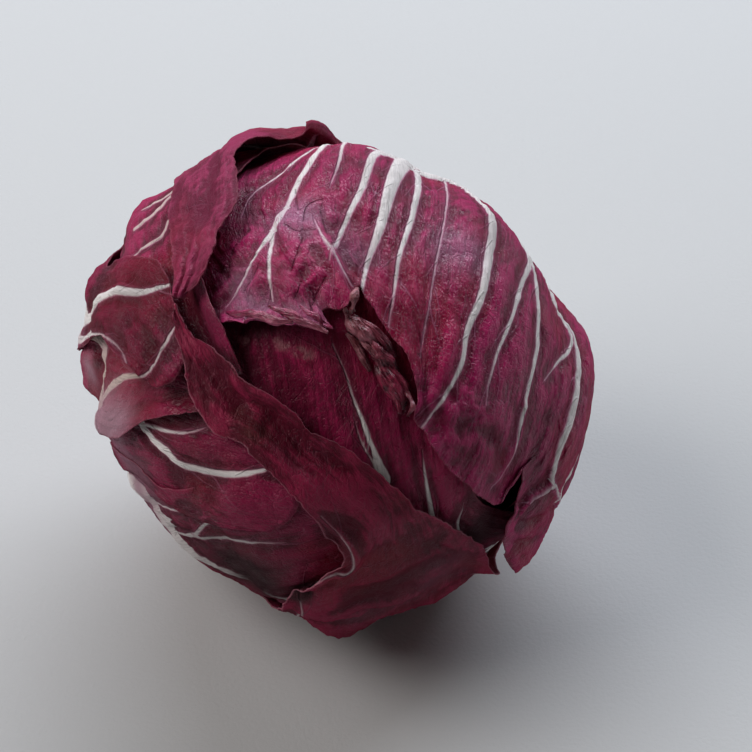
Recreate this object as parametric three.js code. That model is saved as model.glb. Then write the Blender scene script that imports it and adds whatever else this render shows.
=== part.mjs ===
// A round head of red radicchio, picked and trimmed, lying on its side on a small flat spot.
// Millimetres, +Z up. The origin is the middle of the flat spot, straight below the head's centre.
//
// The head is a stack of wrapped leaves. Every leaf is drawn as a patch on a flat map of the
// head: a point's distance from the middle of the map is its angle in degrees from the apex,
// where the leaf tips meet, and its bearing on the map is its angle round the stem. The leaves
// are then laid over each other one by one, from the heart outwards, and each rests on the
// highest leaf below it.
import * as THREE from "three";

// Driving dimensions, in millimetres and degrees.
const MEAN_RADIUS = 57;
const OVAL = 3.9; // the head is this much longer along one axis and shorter along another
const LEAN = 1.5; // and a little fuller at one end of the long axis
const CENTRE_HEIGHT = 53.8; // the head's centre above the surface it lies on
const FLAT_CATCH = 0.6; // the lowest skin this near to the surface lies on it
const BLADE = 0.9; // thickness of a leaf between its ribs
const GAP = 0.5; // air between two leaves
const BASE_ANGLE = 163; // where the leaves end beside the stem, from the apex
const STEM_ANGLE = 15.2; // half angle of the conical stem
const STEM_TOP = 13; // distances of the stem's two ends from the head's centre
const STEM_CUT = 54.5;
const STEM_ROUNDING = 1.6;
const HEART_LEAST = 29; // smallest radius of the bud in the middle
const HEART_END = 150; // the bud closes here, short of the stem
const HEART_HOLLOW = 7; // and goes in this near to the centre, round the stem's top
const FIRST_DEPTH = 24; // a first guess at how thick all the leaves lie on the bud
const FITTINGS = 3; // how often the bud is sized again to the leaves
const SMOOTHING = 90; // passes that smooth the leaves' common thickness
const PULLS = 3; // how often a leaf is pulled smooth over what is below it
const RAISES = 40; // and at most how often it is raised where it still cuts in
const CLOSE_ENOUGH = 0.02;
const HELD = 0.45; // this share of a leaf's length lies close, and beyond it the sides lift

const radians = THREE.MathUtils.degToRad;

// A unit vector from its turn about +Z, counted from +X, and its rise above the horizontal.
function heading(turn, rise) {
  const flat = Math.cos(radians(rise));
  return new THREE.Vector3(
    flat * Math.cos(radians(turn)),
    flat * Math.sin(radians(turn)),
    Math.sin(radians(rise)),
  );
}

const STEM_WAY = heading(78.4, -9.7);
const LONG_WAY = heading(163.3, 18.9);
const SHORT_WAY = heading(54, 43.9);
const APEX_WAY = STEM_WAY.clone().negate();
const SIDE_WAY = new THREE.Vector3(1, 0, 0).projectOnPlane(APEX_WAY).normalize();
const RISE_WAY = APEX_WAY.clone().cross(SIDE_WAY);
const CENTRE = new THREE.Vector3(0, 0, CENTRE_HEIGHT);

// Where the head stands prouder than the oval, or less: the turn and rise of the middle of each
// swelling, its height and how far it spreads, in degrees.
const SWELLINGS = [
  { way: heading(112, 48), height: 4.2, spread: 20 }, // loose leaves on top
  { way: heading(-3, -3), height: 6.8, spread: 18 }, // ribs at the right
  { way: heading(28, 29), height: -2.6, spread: 14 },
  { way: heading(-168, -14), height: -6.5, spread: 14 }, // a dent under the left leaves
  { way: heading(151, 29), height: -3, spread: 11 },
];

// The leaves from the inside out. stem is the bearing and half width, in degrees round the stem,
// of the leaf's foot. left and right are its two sides from the foot up, and tip is its far
// margin from left to right, all as [bearing, angle from the apex]. rib is the extra thickness
// of the midrib at its foot, and lift says how far the left side, tip and right side stand off
// the leaf below. held is given where more or less of the leaf lies close than usual, and fold
// where it stands up in a fold: the fold's place on the map, its height and how far it spreads.
const WINE = 0x6b1a35;
const DARK_WINE = 0x4c1424;
const MAUVE = 0x7a3a4e;
const PALE_PINK = 0xc08a9c;

const INNER_LEAVES = 7;
const GOLDEN_TURN = 137.5;

// An inner leaf wraps half the head and folds over its apex.
function innerLeaf(index) {
  const middle = -100 + index * GOLDEN_TURN;
  const side = (turn) => [
    [middle + 58 * turn, 132],
    [middle + 82 * turn, 104],
    [middle + 86 * turn, 80],
  ];
  return {
    name: `inner_leaf_${index + 1}`,
    stem: [middle, 30],
    left: side(1),
    tip: [
      [middle + 84, 58],
      [middle + 98, 28],
      [middle + 180, 12],
      [middle - 98, 28],
      [middle - 84, 58],
    ],
    right: side(-1),
    rib: 1.2,
    lift: [0, 0, 0],
    cells: [10, 10],
    color: PALE_PINK,
  };
}

const OUTER_LEAVES = [
  {
    name: "under_leaf_top",
    stem: [100, 30],
    left: [[140, 132], [146, 104], [142, 80]],
    tip: [[136, 58], [112, 46], [84, 48], [62, 58]],
    right: [[58, 132], [50, 104], [54, 78]],
    rib: 2,
    lift: [0, 0, 0],
    cells: [11, 11],
    color: WINE,
  },
  {
    name: "under_leaf_right",
    stem: [22, 30],
    left: [[52, 132], [60, 104], [58, 82]],
    tip: [[48, 62], [24, 50], [-2, 58], [-20, 70]],
    right: [[-14, 132], [-24, 108], [-26, 88]],
    rib: 2,
    lift: [0, 0, 0],
    cells: [11, 11],
    color: WINE,
  },
  {
    name: "under_leaf_low",
    stem: [-104, 30],
    left: [[-62, 132], [-54, 104], [-58, 76]],
    tip: [[-64, 50], [-88, 34], [-124, 34], [-148, 50]],
    right: [[-146, 132], [-156, 104], [-156, 74]],
    rib: 2,
    lift: [0, 0, 0],
    cells: [11, 11],
    color: WINE,
  },
  {
    name: "under_leaf_back",
    stem: [-30, 30],
    left: [[4, 132], [10, 108], [6, 88]],
    tip: [[-2, 72], [-24, 62], [-50, 62], [-70, 72]],
    right: [[-68, 132], [-80, 110], [-78, 90]],
    rib: 2,
    lift: [0, 0, 0],
    cells: [11, 11],
    color: WINE,
  },
  {
    name: "centre_leaf",
    stem: [-40, 27],
    left: [[-12, 132], [-16, 104], [-20, 74], [-14, 55], [-6, 46], [6, 45], [22, 47], [42, 53]],
    tip: [[60, 58], [80, 58], [100, 56], [114, 52]],
    right: [[-70, 132], [-72, 102], [-76, 66], [-84, 38], [-120, 18], [150, 18], [126, 32]],
    rib: 2,
    lift: [0, 0, 0],
    cells: [11, 16],
    color: DARK_WINE,
  },
  {
    name: "low_left_leaf",
    stem: [-148, 27],
    left: [[-112, 132], [-108, 102], [-106, 76], [-103, 60]],
    tip: [[-98, 48], [-84, 32], [-60, 24], [-30, 18], [20, 12], [90, 12], [135, 18]],
    right: [[-176, 132], [-174, 102], [-178, 76], [178, 54], [168, 36]],
    rib: 2.2,
    lift: [0, 0, 0],
    cells: [13, 13],
    color: WINE,
  },
  {
    name: "lower_left_leaf",
    stem: [-168, 24],
    left: [[-150, 132], [-156, 102], [-163, 74], [-168, 54], [-174, 40], [-174, 31]],
    tip: [[178, 21], [-171, 17], [-155, 14], [-120, 5], [60, 6], [112, 16], [128, 30]],
    right: [[178, 132], [178, 104], [175, 80], [166, 62], [155, 50], [142, 40]],
    rib: 2,
    lift: [0.6, 0, 0],
    cells: [11, 13],
    color: WINE,
  },
  {
    name: "middle_left_leaf",
    stem: [-179, 23],
    left: [[-166, 132], [-173, 102], [-179, 76], [179, 56], [175, 46], [162, 39], [152, 34]],
    tip: [[139, 29], [132, 31], [128, 37]],
    right: [[166, 132], [166, 106], [160, 86], [152, 70], [143, 56], [134, 46]],
    rib: 2,
    lift: [0.8, 0, 0],
    cells: [9, 13],
    color: WINE,
  },
  {
    name: "upper_leaf",
    stem: [68, 38],
    left: [[118, 132], [125, 102], [122, 74], [116, 54]],
    tip: [
      [115, 44], [110, 42], [95, 43], [82, 43], [75, 42], [76, 52], [65, 47], [53, 44], [47, 41],
      [41, 36], [34, 33], [20, 36], [2, 41], [-3, 45], [3, 54], [-8, 54], [-15, 52], [-26, 60], [-38, 72],
    ],
    right: [[8, 136], [-10, 112], [-22, 92], [-30, 80]],
    rib: 2.2,
    lift: [0, 1.4, 0.5],
    cells: [24, 13],
    color: WINE,
  },
  {
    name: "high_left_leaf",
    stem: [142, 24],
    left: [[170, 132], [170, 106], [160, 86], [152, 70]],
    tip: [[146, 54], [138, 42], [124, 34], [109, 29]],
    right: [[106, 132], [106, 102], [113, 76], [120, 58], [117, 50], [115, 41]],
    rib: 2,
    lift: [0, 0, 0.6],
    cells: [9, 13],
    color: WINE,
  },
  {
    name: "left_tongue_leaf",
    stem: [163, 23],
    left: [[-172, 132], [-176, 102], [175, 74], [160, 61], [153, 52], [150, 44]],
    tip: [[144, 39], [137, 38], [130, 40], [128, 46]],
    right: [[148, 132], [155, 106], [153, 86], [144, 74], [135, 69], [128, 60]],
    rib: 2,
    lift: [2.2, 1.5, 0],
    cells: [9, 14],
    color: WINE,
  },
  {
    name: "band_leaf",
    stem: [-62, 33],
    left: [
      [-32, 132], [-33, 102], [-33, 76], [-28, 58], [-19, 46], [-11, 37], [-2, 29], [9, 25], [28, 22],
      [62, 19], [92, 23], [113, 32], [123, 41],
    ],
    tip: [[128, 48], [130, 53], [132, 48]],
    right: [
      [-108, 132], [-117, 102], [-112, 76], [-100, 52], [-84, 30], [-58, 19], [-41, 11], [-6, 4],
      [108, 7], [124, 14], [136, 22], [139, 29], [137, 38],
    ],
    rib: 2,
    lift: [1, 0, 2.4],
    fold: { at: [-83, 61], height: 6, spread: 9 },
    cells: [12, 24],
    color: DARK_WINE,
  },
  {
    name: "flap_leaf",
    stem: [117, 22],
    left: [[140, 134], [135, 112], [127, 94], [129, 77]],
    tip: [[130, 60], [128, 53], [124, 55]],
    right: [
      [94, 140], [93, 124], [97, 116], [104, 112], [113, 110], [117, 103], [115, 92], [112, 76], [115, 65],
    ],
    rib: 1.6,
    lift: [0, 1, 3],
    held: 0.05,
    cells: [9, 14],
    color: MAUVE,
  },
];

// The head's outside without its steps and lifted margins: nearly a ball, a little oval.
function outsideRadius(way) {
  const along = way.dot(LONG_WAY);
  const across = way.dot(SHORT_WAY);
  let radius = MEAN_RADIUS + OVAL * (along * along - across * across) + LEAN * along;
  for (const { way: middle, height, spread } of SWELLINGS) {
    radius += height * Math.exp(-((way.angleTo(middle) / radians(spread)) ** 2));
  }
  return radius;
}

function mapPoint([bearing, fromApex]) {
  return new THREE.Vector3(
    fromApex * Math.cos(radians(bearing)),
    fromApex * Math.sin(radians(bearing)),
    0,
  );
}

// The direction from the head's centre that a point of the map stands for.
function wayAt(x, y) {
  const fromApex = radians(Math.hypot(x, y));
  const bearing = Math.atan2(y, x);
  return new THREE.Vector3()
    .addScaledVector(SIDE_WAY, Math.sin(fromApex) * Math.cos(bearing))
    .addScaledVector(RISE_WAY, Math.sin(fromApex) * Math.sin(bearing))
    .addScaledVector(APEX_WAY, Math.cos(fromApex));
}

function mapOf(way) {
  const fromApex = THREE.MathUtils.radToDeg(way.angleTo(APEX_WAY));
  const bearing = Math.atan2(way.dot(RISE_WAY), way.dot(SIDE_WAY));
  return [fromApex * Math.cos(bearing), fromApex * Math.sin(bearing)];
}

// A height for each cell of the map, out to just past the leaves' feet.
class HeightMap {
  static REACH = 170;
  static CELL = 1.25;
  static SIZE = 2 * Math.ceil(HeightMap.REACH / HeightMap.CELL) + 1;

  constructor(heightAt) {
    this.heights = new Float64Array(HeightMap.SIZE ** 2);
    const middle = (HeightMap.SIZE - 1) / 2;
    for (let row = 0; row < HeightMap.SIZE; row++) {
      for (let column = 0; column < HeightMap.SIZE; column++) {
        const x = (column - middle) * HeightMap.CELL;
        const y = (row - middle) * HeightMap.CELL;
        this.heights[row * HeightMap.SIZE + column] = heightAt(x, y);
      }
    }
  }

  cell(x, y) {
    const middle = (HeightMap.SIZE - 1) / 2;
    const column = THREE.MathUtils.clamp(Math.round(x / HeightMap.CELL) + middle, 2, HeightMap.SIZE - 3);
    const row = THREE.MathUtils.clamp(Math.round(y / HeightMap.CELL) + middle, 2, HeightMap.SIZE - 3);
    return row * HeightMap.SIZE + column;
  }

  at(x, y) {
    return this.heights[this.cell(x, y)];
  }

  // The highest of the cell and its eight neighbours.
  highestNear(x, y) {
    const cell = this.cell(x, y);
    let highest = 0;
    for (const up of [-HeightMap.SIZE, 0, HeightMap.SIZE]) {
      for (const over of [-1, 0, 1]) highest = Math.max(highest, this.heights[cell + up + over]);
    }
    return highest;
  }

  raise(x, y, height) {
    const cell = this.cell(x, y);
    this.heights[cell] = Math.max(this.heights[cell], height);
  }

  // Each pass gives every cell the mean of itself and its eight neighbours.
  smooth(passes) {
    const side = HeightMap.SIZE;
    for (let pass = 0; pass < passes; pass++) {
      const before = this.heights.slice();
      for (let row = 1; row < side - 1; row++) {
        for (let column = 1; column < side - 1; column++) {
          let sum = 0;
          for (const up of [-side, 0, side]) {
            for (const over of [-1, 0, 1]) sum += before[row * side + column + up + over];
          }
          this.heights[row * side + column] = sum / 9;
        }
      }
    }
    return this;
  }
}

function smoothCurve(points) {
  const curve = new THREE.CatmullRomCurve3(points.map(mapPoint), false, "centripetal");
  curve.arcLengthDivisions = 400;
  return curve;
}

// The leaf as a function from (across, along), both 0 to 1, to a point of the map. The four
// margins are blended so that the leaf's lines fan out from its foot to its tip.
function leafPatch({ stem: [middle, half], left, tip, right }) {
  const foot = (across) => mapPoint([middle + half * (1 - 2 * across), BASE_ANGLE]);
  const leftSide = smoothCurve([[middle + half, BASE_ANGLE], ...left, tip[0]]);
  const rightSide = smoothCurve([[middle - half, BASE_ANGLE], ...right, tip.at(-1)]);
  const farSide = smoothCurve(tip);
  const corners = [foot(0), foot(1), mapPoint(tip[0]), mapPoint(tip.at(-1))];
  return (across, along) => {
    const point = new THREE.Vector3()
      .addScaledVector(leftSide.getPointAt(along), 1 - across)
      .addScaledVector(rightSide.getPointAt(along), across)
      .addScaledVector(foot(across), 1 - along)
      .addScaledVector(farSide.getPointAt(across), along)
      .addScaledVector(corners[0], -(1 - across) * (1 - along))
      .addScaledVector(corners[1], -across * (1 - along))
      .addScaledVector(corners[2], -(1 - across) * along)
      .addScaledVector(corners[3], -across * along);
    return [point.x, point.y];
  };
}

// The blade, with a midrib that is thickest at the leaf's foot.
function thicknessAt(leaf, across, along) {
  const beside = Math.exp(-(((across - 0.5) / 0.2) ** 2));
  return BLADE + leaf.rib * beside * (1 - THREE.MathUtils.smoothstep(along, 0.05, 0.6));
}

function liftAt({ lift: [left, tip, right], held = HELD }, across, along) {
  const nearEdge = (inward) => 1 - THREE.MathUtils.smoothstep(inward, 0, 0.3);
  const free = THREE.MathUtils.smoothstep(along, held, held + 0.35);
  return free * (left * nearEdge(across) + right * nearEdge(1 - across)) + tip * nearEdge(1 - along);
}

function foldAt({ fold }, x, y) {
  if (!fold) return 0;
  const middle = mapPoint(fold.at);
  return fold.height * Math.exp(-((Math.hypot(x - middle.x, y - middle.y) / fold.spread) ** 2));
}

const leaves = [...Array(INNER_LEAVES).keys()].map(innerLeaf).concat(OUTER_LEAVES);
for (const leaf of leaves) leaf.patch = leafPatch(leaf);

// A leaf's grid of places on the map, with the radius of its inner skin at each.
class LeafSheet {
  constructor(leaf) {
    this.leaf = leaf;
    [this.wide, this.long] = leaf.cells;
    this.places = [];
    for (let j = 0; j <= this.long; j++) {
      for (let i = 0; i <= this.wide; i++) {
        const across = i / this.wide;
        const along = j / this.long;
        const [x, y] = leaf.patch(across, along);
        this.places.push({
          way: wayAt(x, y),
          x,
          y,
          inner: 0,
          lift: liftAt(leaf, across, along) + foldAt(leaf, x, y),
          depth: thicknessAt(leaf, across, along),
        });
      }
    }
    this.triangles = [];
    for (let j = 0; j < this.long; j++) {
      for (let i = 0; i < this.wide; i++) {
        const a = j * (this.wide + 1) + i;
        const c = a + this.wide + 1;
        this.triangles.push([a, a + 1, c + 1], [a, c + 1, c]);
      }
    }
  }

  // Visits points at most spacing apart on a triangle, with their weights of its corners.
  eachPoint(triangle, radiusOf, spacing, visit) {
    const corners = triangle.map((k) => this.places[k].way.clone().multiplyScalar(radiusOf(this.places[k])));
    const longest = Math.max(...corners.map((corner, k) => corner.distanceTo(corners[(k + 1) % 3])));
    const steps = Math.ceil(longest / spacing);
    for (let i = 0; i <= steps; i++) {
      for (let j = 0; i + j <= steps; j++) {
        const weights = [i / steps, j / steps, (steps - i - j) / steps];
        const point = new THREE.Vector3();
        weights.forEach((weight, k) => point.addScaledVector(corners[k], weight));
        const radius = point.length();
        visit(...mapOf(point.divideScalar(radius)), radius, weights);
      }
    }
  }

  // Lays the sheet on what is below it: it is pulled smooth, then raised where it would cut in.
  settle(below) {
    const floor = this.places.map(({ x, y }) => below.highestNear(x, y) + GAP);
    this.places.forEach((place, k) => (place.inner = floor[k]));
    for (let pass = 0; pass < PULLS; pass++) {
      const before = this.places.map((place) => place.inner);
      this.places.forEach((place, k) => {
        const column = k % (this.wide + 1);
        const near = [];
        if (column > 0) near.push(before[k - 1]);
        if (column < this.wide) near.push(before[k + 1]);
        if (k > this.wide) near.push(before[k - this.wide - 1]);
        if (k + this.wide + 1 < before.length) near.push(before[k + this.wide + 1]);
        place.inner = Math.max(floor[k], near.reduce((sum, value) => sum + value, 0) / near.length);
      });
    }
    for (const place of this.places) place.inner += place.lift;
    for (let pass = 0; pass < RAISES; pass++) {
      const short = new Float64Array(this.places.length);
      for (const triangle of this.triangles) {
        this.eachPoint(triangle, (place) => place.inner, 2 * HeightMap.CELL, (x, y, radius, weights) => {
          const missing = below.highestNear(x, y) + GAP - radius;
          if (missing <= 0) return;
          const square = weights.reduce((sum, weight) => sum + weight * weight, 0);
          triangle.forEach((k, corner) => {
            short[k] = Math.max(short[k], (missing * weights[corner]) / square);
          });
        });
      }
      this.places.forEach((place, k) => (place.inner += short[k]));
      if (Math.max(...short) < CLOSE_ENOUGH) break;
    }
    for (const triangle of this.triangles) {
      this.eachPoint(triangle, (place) => place.inner + place.depth, HeightMap.CELL, (x, y, radius) =>
        below.raise(x, y, radius),
      );
    }
  }

  // The closed solid between the two skins. squeeze gives the head's flattening at a place.
  solid(squeeze) {
    const skin = (radiusOf) =>
      this.places.map((place) => {
        const point = place.way
          .clone()
          .multiplyScalar(radiusOf(place) * squeeze(place))
          .add(CENTRE);
        if (point.z < FLAT_CATCH) point.z = 0;
        return point;
      });
    const outer = skin((place) => place.inner + place.depth);
    const inner = skin((place) => place.inner);
    const count = outer.length;
    const faces = this.triangles.flatMap(([a, b, c]) => [
      [a, c, b],
      [a + count, b + count, c + count],
    ]);
    const rim = [];
    for (let i = 0; i < this.wide; i++) rim.push(i);
    for (let j = 0; j < this.long; j++) rim.push(this.wide + j * (this.wide + 1));
    for (let i = this.wide; i > 0; i--) rim.push(this.long * (this.wide + 1) + i);
    for (let j = this.long; j > 0; j--) rim.push(j * (this.wide + 1));
    rim.forEach((a, k) => {
      const b = rim[(k + 1) % rim.length];
      faces.push([a, b, b + count], [a, b + count, a + count]);
    });
    return meshGeometry([...outer, ...inner], faces);
  }
}

function meshGeometry(points, faces) {
  const geometry = new THREE.BufferGeometry().setFromPoints(points);
  geometry.setIndex(faces.flat());
  geometry.computeVertexNormals();
  return geometry;
}

function named(name, geometry, color, roughness) {
  const mesh = new THREE.Mesh(geometry, new THREE.MeshStandardMaterial({ color, roughness, metalness: 0 }));
  mesh.name = name;
  return mesh;
}

// The tight bud in the middle: rings from the apex back to the stem, closed over the stem's top.
function heart(bud) {
  const AROUND = 20;
  const RINGS = 10;
  const points = [APEX_WAY.clone().multiplyScalar(bud.at(0, 0) - GAP).add(CENTRE)];
  for (let ring = 1; ring <= RINGS; ring++) {
    for (let k = 0; k < AROUND; k++) {
      const { x, y } = mapPoint([(k * 360) / AROUND, (ring * HEART_END) / RINGS]);
      points.push(wayAt(x, y).multiplyScalar(bud.at(x, y) - GAP).add(CENTRE));
    }
  }
  points.push(STEM_WAY.clone().multiplyScalar(HEART_HOLLOW).add(CENTRE));
  const last = points.length - 1;
  const faces = [];
  for (let k = 0; k < AROUND; k++) {
    const next = (k + 1) % AROUND;
    faces.push([0, 1 + k, 1 + next]);
    for (let ring = 0; ring < RINGS - 1; ring++) {
      const a = 1 + ring * AROUND;
      faces.push([a + k, a + AROUND + k, a + AROUND + next], [a + k, a + AROUND + next, a + next]);
    }
    const end = 1 + (RINGS - 1) * AROUND;
    faces.push([end + k, last, end + next]);
  }
  return named("heart", meshGeometry(points, faces), PALE_PINK, 0.5);
}

// The cut stem: a cone that widens to the cut face, with a rounded rim.
function stemCore() {
  const AROUND = 28;
  const slope = Math.tan(radians(STEM_ANGLE));
  const profile = [
    new THREE.Vector2(0, STEM_TOP),
    new THREE.Vector2(STEM_TOP * slope, STEM_TOP),
    new THREE.Vector2((STEM_CUT - STEM_ROUNDING) * slope, STEM_CUT - STEM_ROUNDING),
    new THREE.Vector2(STEM_CUT * slope - STEM_ROUNDING, STEM_CUT),
    new THREE.Vector2(0, STEM_CUT),
  ];
  const mesh = named("stem_core", new THREE.LatheGeometry(profile, AROUND), 0xcdb592, 0.7);
  mesh.quaternion.setFromUnitVectors(new THREE.Vector3(0, 1, 0), STEM_WAY);
  mesh.position.copy(CENTRE);
  return mesh;
}

const sheets = leaves.map((leaf) => new LeafSheet(leaf));

// Lays every leaf over a bud and gives the map of the head's outside.
function layOver(bud) {
  const outside = new HeightMap((x, y) => bud.at(x, y));
  for (const sheet of sheets) sheet.settle(outside);
  return outside;
}

// The bud that fits: the leaves are laid, and the bud takes the room that they leave inside the
// head's outside radius.
let bud = new HeightMap((x, y) => outsideRadius(wayAt(x, y)) - FIRST_DEPTH);
let stack = layOver(bud);
for (let fitting = 0; fitting < FITTINGS; fitting++) {
  const depth = new HeightMap((x, y) => stack.at(x, y) - bud.at(x, y)).smooth(SMOOTHING);
  bud = new HeightMap((x, y) => {
    const inward = Math.min(1, HEART_END / Math.max(1, Math.hypot(x, y)));
    return Math.max(HEART_LEAST, outsideRadius(wayAt(x, y)) - depth.at(x * inward, y * inward));
  });
  stack = layOver(bud);
}

// The head's own weight presses its underside flat: every layer there shrinks in proportion, so
// that the outermost one just meets the surface.
function squeeze({ way, x, y }) {
  if (way.z >= 0) return 1;
  return Math.min(1, CENTRE_HEIGHT / -way.z / stack.highestNear(x, y));
}

const head = new THREE.Group();
head.add(stemCore(), heart(bud));
for (const sheet of sheets) head.add(named(sheet.leaf.name, sheet.solid(squeeze), sheet.leaf.color, 0.45));

export default head;
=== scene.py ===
"""A round head of red radicchio lying on its side, built up from the cut stem to its outermost leaves."""
import math

import bmesh
import bpy
import numpy as np
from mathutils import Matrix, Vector, kdtree, noise
from mathutils.bvhtree import BVHTree


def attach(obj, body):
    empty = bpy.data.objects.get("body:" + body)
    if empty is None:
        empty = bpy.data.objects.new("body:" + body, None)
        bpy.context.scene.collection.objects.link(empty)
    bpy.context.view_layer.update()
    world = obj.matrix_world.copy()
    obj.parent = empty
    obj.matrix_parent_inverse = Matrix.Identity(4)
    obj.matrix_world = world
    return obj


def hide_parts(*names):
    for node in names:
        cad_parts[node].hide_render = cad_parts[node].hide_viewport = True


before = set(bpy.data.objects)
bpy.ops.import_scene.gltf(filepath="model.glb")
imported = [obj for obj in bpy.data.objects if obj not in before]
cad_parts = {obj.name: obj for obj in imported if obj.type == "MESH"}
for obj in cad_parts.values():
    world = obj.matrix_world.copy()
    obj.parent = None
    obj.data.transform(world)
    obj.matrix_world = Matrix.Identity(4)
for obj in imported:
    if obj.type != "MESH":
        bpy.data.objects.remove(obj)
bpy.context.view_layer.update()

# ------------------------------------------------------------------------------------------
# The cut stem. A short woody cone in the middle of the back, which every leaf grows from. It
# was cut flush with the leaf stalks, and the cut has dried to a tan face with a darker rim.
# ------------------------------------------------------------------------------------------
MM = 0.001
CENTRE_HEIGHT = 53.8  # the head's centre above the surface it lies on, in millimetres


def heading(turn, rise):
    """A unit vector from its turn about +Z, counted from +X, and its rise above the horizontal."""
    turn, rise = math.radians(turn), math.radians(rise)
    return np.array([math.cos(rise) * math.cos(turn), math.cos(rise) * math.sin(turn), math.sin(rise)])


# The head's map: a point's distance from the middle is its angle in degrees from the apex, where
# the leaf tips meet, and its bearing is its angle round the stem.
STEM_WAY = heading(78.4, -9.7)
APEX_WAY = -STEM_WAY
SIDE_WAY = np.array([1.0, 0, 0]) - APEX_WAY[0] * APEX_WAY
SIDE_WAY /= np.linalg.norm(SIDE_WAY)
RISE_WAY = np.cross(APEX_WAY, SIDE_WAY)


class Wire:
    """One socket of a material's nodes. Sums on wires add the Math nodes that work them out."""

    def __init__(self, finish, socket):
        self.finish, self.socket = finish, socket

    def math(self, operation, *values):
        return self.finish.node("ShaderNodeMath", {"operation": operation}, [self, *values])

    def __add__(self, other):
        return self.math("ADD", other)

    __radd__ = __add__

    def __sub__(self, other):
        return self.math("SUBTRACT", other)

    def __rsub__(self, other):
        return self.math("MULTIPLY_ADD", -1, other)

    def __mul__(self, other):
        return self.math("MULTIPLY", other)

    __rmul__ = __mul__

    def step(self, low, high):
        """0 below low and 1 above high, or the other way round where low is the greater."""
        settings = {"interpolation_type": "SMOOTHSTEP"}
        if low < high:
            return self.finish.node("ShaderNodeMapRange", settings, [self, low, high, 0, 1])
        return self.finish.node("ShaderNodeMapRange", settings, [self, high, low, 1, 0])


class Finish:
    """A material: its nodes are added by node(), and its surface is one Principled shader."""

    def __init__(self, name, **constants):
        self.material = bpy.data.materials.new(name)
        self.material.use_nodes = True
        self.tree = self.material.node_tree
        self.shader = self.tree.nodes["Principled BSDF"]
        for socket, value in constants.items():
            self.shader.inputs[socket.replace("_", " ")].default_value = value

    def node(self, kind, settings, values, output=0):
        """Adds a node. values go to its sockets in order, or by name; a Wire is linked."""
        node = self.tree.nodes.new(kind)
        for name, value in settings.items():
            setattr(node, name, value)
        pairs = values.items() if isinstance(values, dict) else enumerate(values)
        for key, value in pairs:
            if isinstance(value, Wire):
                self.tree.links.new(value.socket, node.inputs[key])
            else:
                node.inputs[key].default_value = value
        return Wire(self, node.outputs[output])

    def attribute(self, name, output="Fac"):
        return self.node("ShaderNodeAttribute", {"attribute_name": name}, [], output)

    def blend(self, share, first, second):
        """Mixes two colours, each a wire or a list of three numbers."""
        colours = [one if isinstance(one, Wire) else (*one, 1) for one in (first, second)]
        values = {0: share, 6: colours[0], 7: colours[1]}
        return self.node("ShaderNodeMix", {"data_type": "RGBA"}, values, 2)

    def cloud(self, place, scale, detail=3, roughness=0.55):
        """Soft noise from 0 to 1."""
        values = {"Vector": place, "Scale": scale, "Detail": detail, "Roughness": roughness}
        return self.node("ShaderNodeTexNoise", {}, values)

    def scaled(self, place, scale):
        return self.node("ShaderNodeVectorMath", {"operation": "MULTIPLY"}, [place, scale])

    def feed(self, **wires):
        for socket, wire in wires.items():
            self.tree.links.new(wire.socket, self.shader.inputs[socket.replace("_", " ")])

    def threads(self, place, scale):
        """How far each place is from the nearest thread of an irregular net."""
        values = {"Vector": place, "Scale": scale}
        return self.node("ShaderNodeTexVoronoi", {"feature": "DISTANCE_TO_EDGE"}, values)

    def bump(self, height, distance):
        values = {"Height": height, "Distance": distance, "Strength": 1.0}
        return self.node("ShaderNodeBump", {}, values)


def own_place(finish):
    return finish.node("ShaderNodeTexCoord", {}, [], "Object")


def darker(colour, share):
    return [share * part for part in colour]


def put(name, bm, finish, node=None):
    """Makes the object of a finished bmesh, which may stand for a CAD node."""
    mesh = bpy.data.meshes.new(name)
    bm.to_mesh(mesh)
    bm.free()
    for polygon in mesh.polygons:
        polygon.use_smooth = True
    piece = bpy.data.objects.new(name, mesh)
    bpy.context.scene.collection.objects.link(piece)
    mesh.materials.append(finish.material)
    if node:
        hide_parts(node)
    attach(piece, "root")
    return piece


def give(piece, name, values):
    """Gives each point of a piece a number, or three, under a name that its material reads."""
    values = np.asarray(values, float)
    kind, key = ("FLOAT", "value") if values.ndim == 1 else ("FLOAT_VECTOR", "vector")
    piece.data.attributes.new(name, kind, "POINT").data.foreach_set(key, values.ravel())


def cad_tree(node):
    """A search tree of a CAD node's faces, in millimetres from the head's centre."""
    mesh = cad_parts[node].data
    points = [(v.co.x / MM, v.co.y / MM, v.co.z / MM - CENTRE_HEIGHT) for v in mesh.vertices]
    return BVHTree.FromPolygons(points, [p.vertices[:] for p in mesh.polygons])


def cad_radius(tree, ways, outside=200.0, inside=5.0):
    """How far out a CAD node reaches on each way from the head's centre, or nan where it doesn't."""
    radii = np.full(len(ways), np.nan)
    for k, way in enumerate(ways):
        way = Vector(way)
        hit, _, _, distance = tree.ray_cast(way * outside, -way, outside - inside)
        if hit:
            radii[k] = outside - distance
    return radii


def upright(points):
    """Points in millimetres from the head's centre, in the row's frame in metres."""
    return (points + [0, 0, CENTRE_HEIGHT]) * MM


def stem_finish():
    finish = Finish("stem_cut", Roughness=0.7)
    place = own_place(finish)
    across = finish.attribute("across_cut")
    rings = finish.cloud(place, 260, 4) * 0.5 + across
    woody = finish.blend(rings.step(0.2, 1.1), (0.62, 0.5, 0.32), (0.4, 0.25, 0.12))
    rim = finish.blend(rings.step(1.1, 1.3), woody, (0.2, 0.1, 0.05))
    specks = finish.cloud(place, 900, 2).step(0.56, 0.66)
    finish.feed(
        Base_Color=finish.blend(specks * 0.5, rim, (0.17, 0.08, 0.04)),
        Normal=finish.bump(finish.cloud(place, 700, 4), 0.0004),
    )
    return finish


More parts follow.
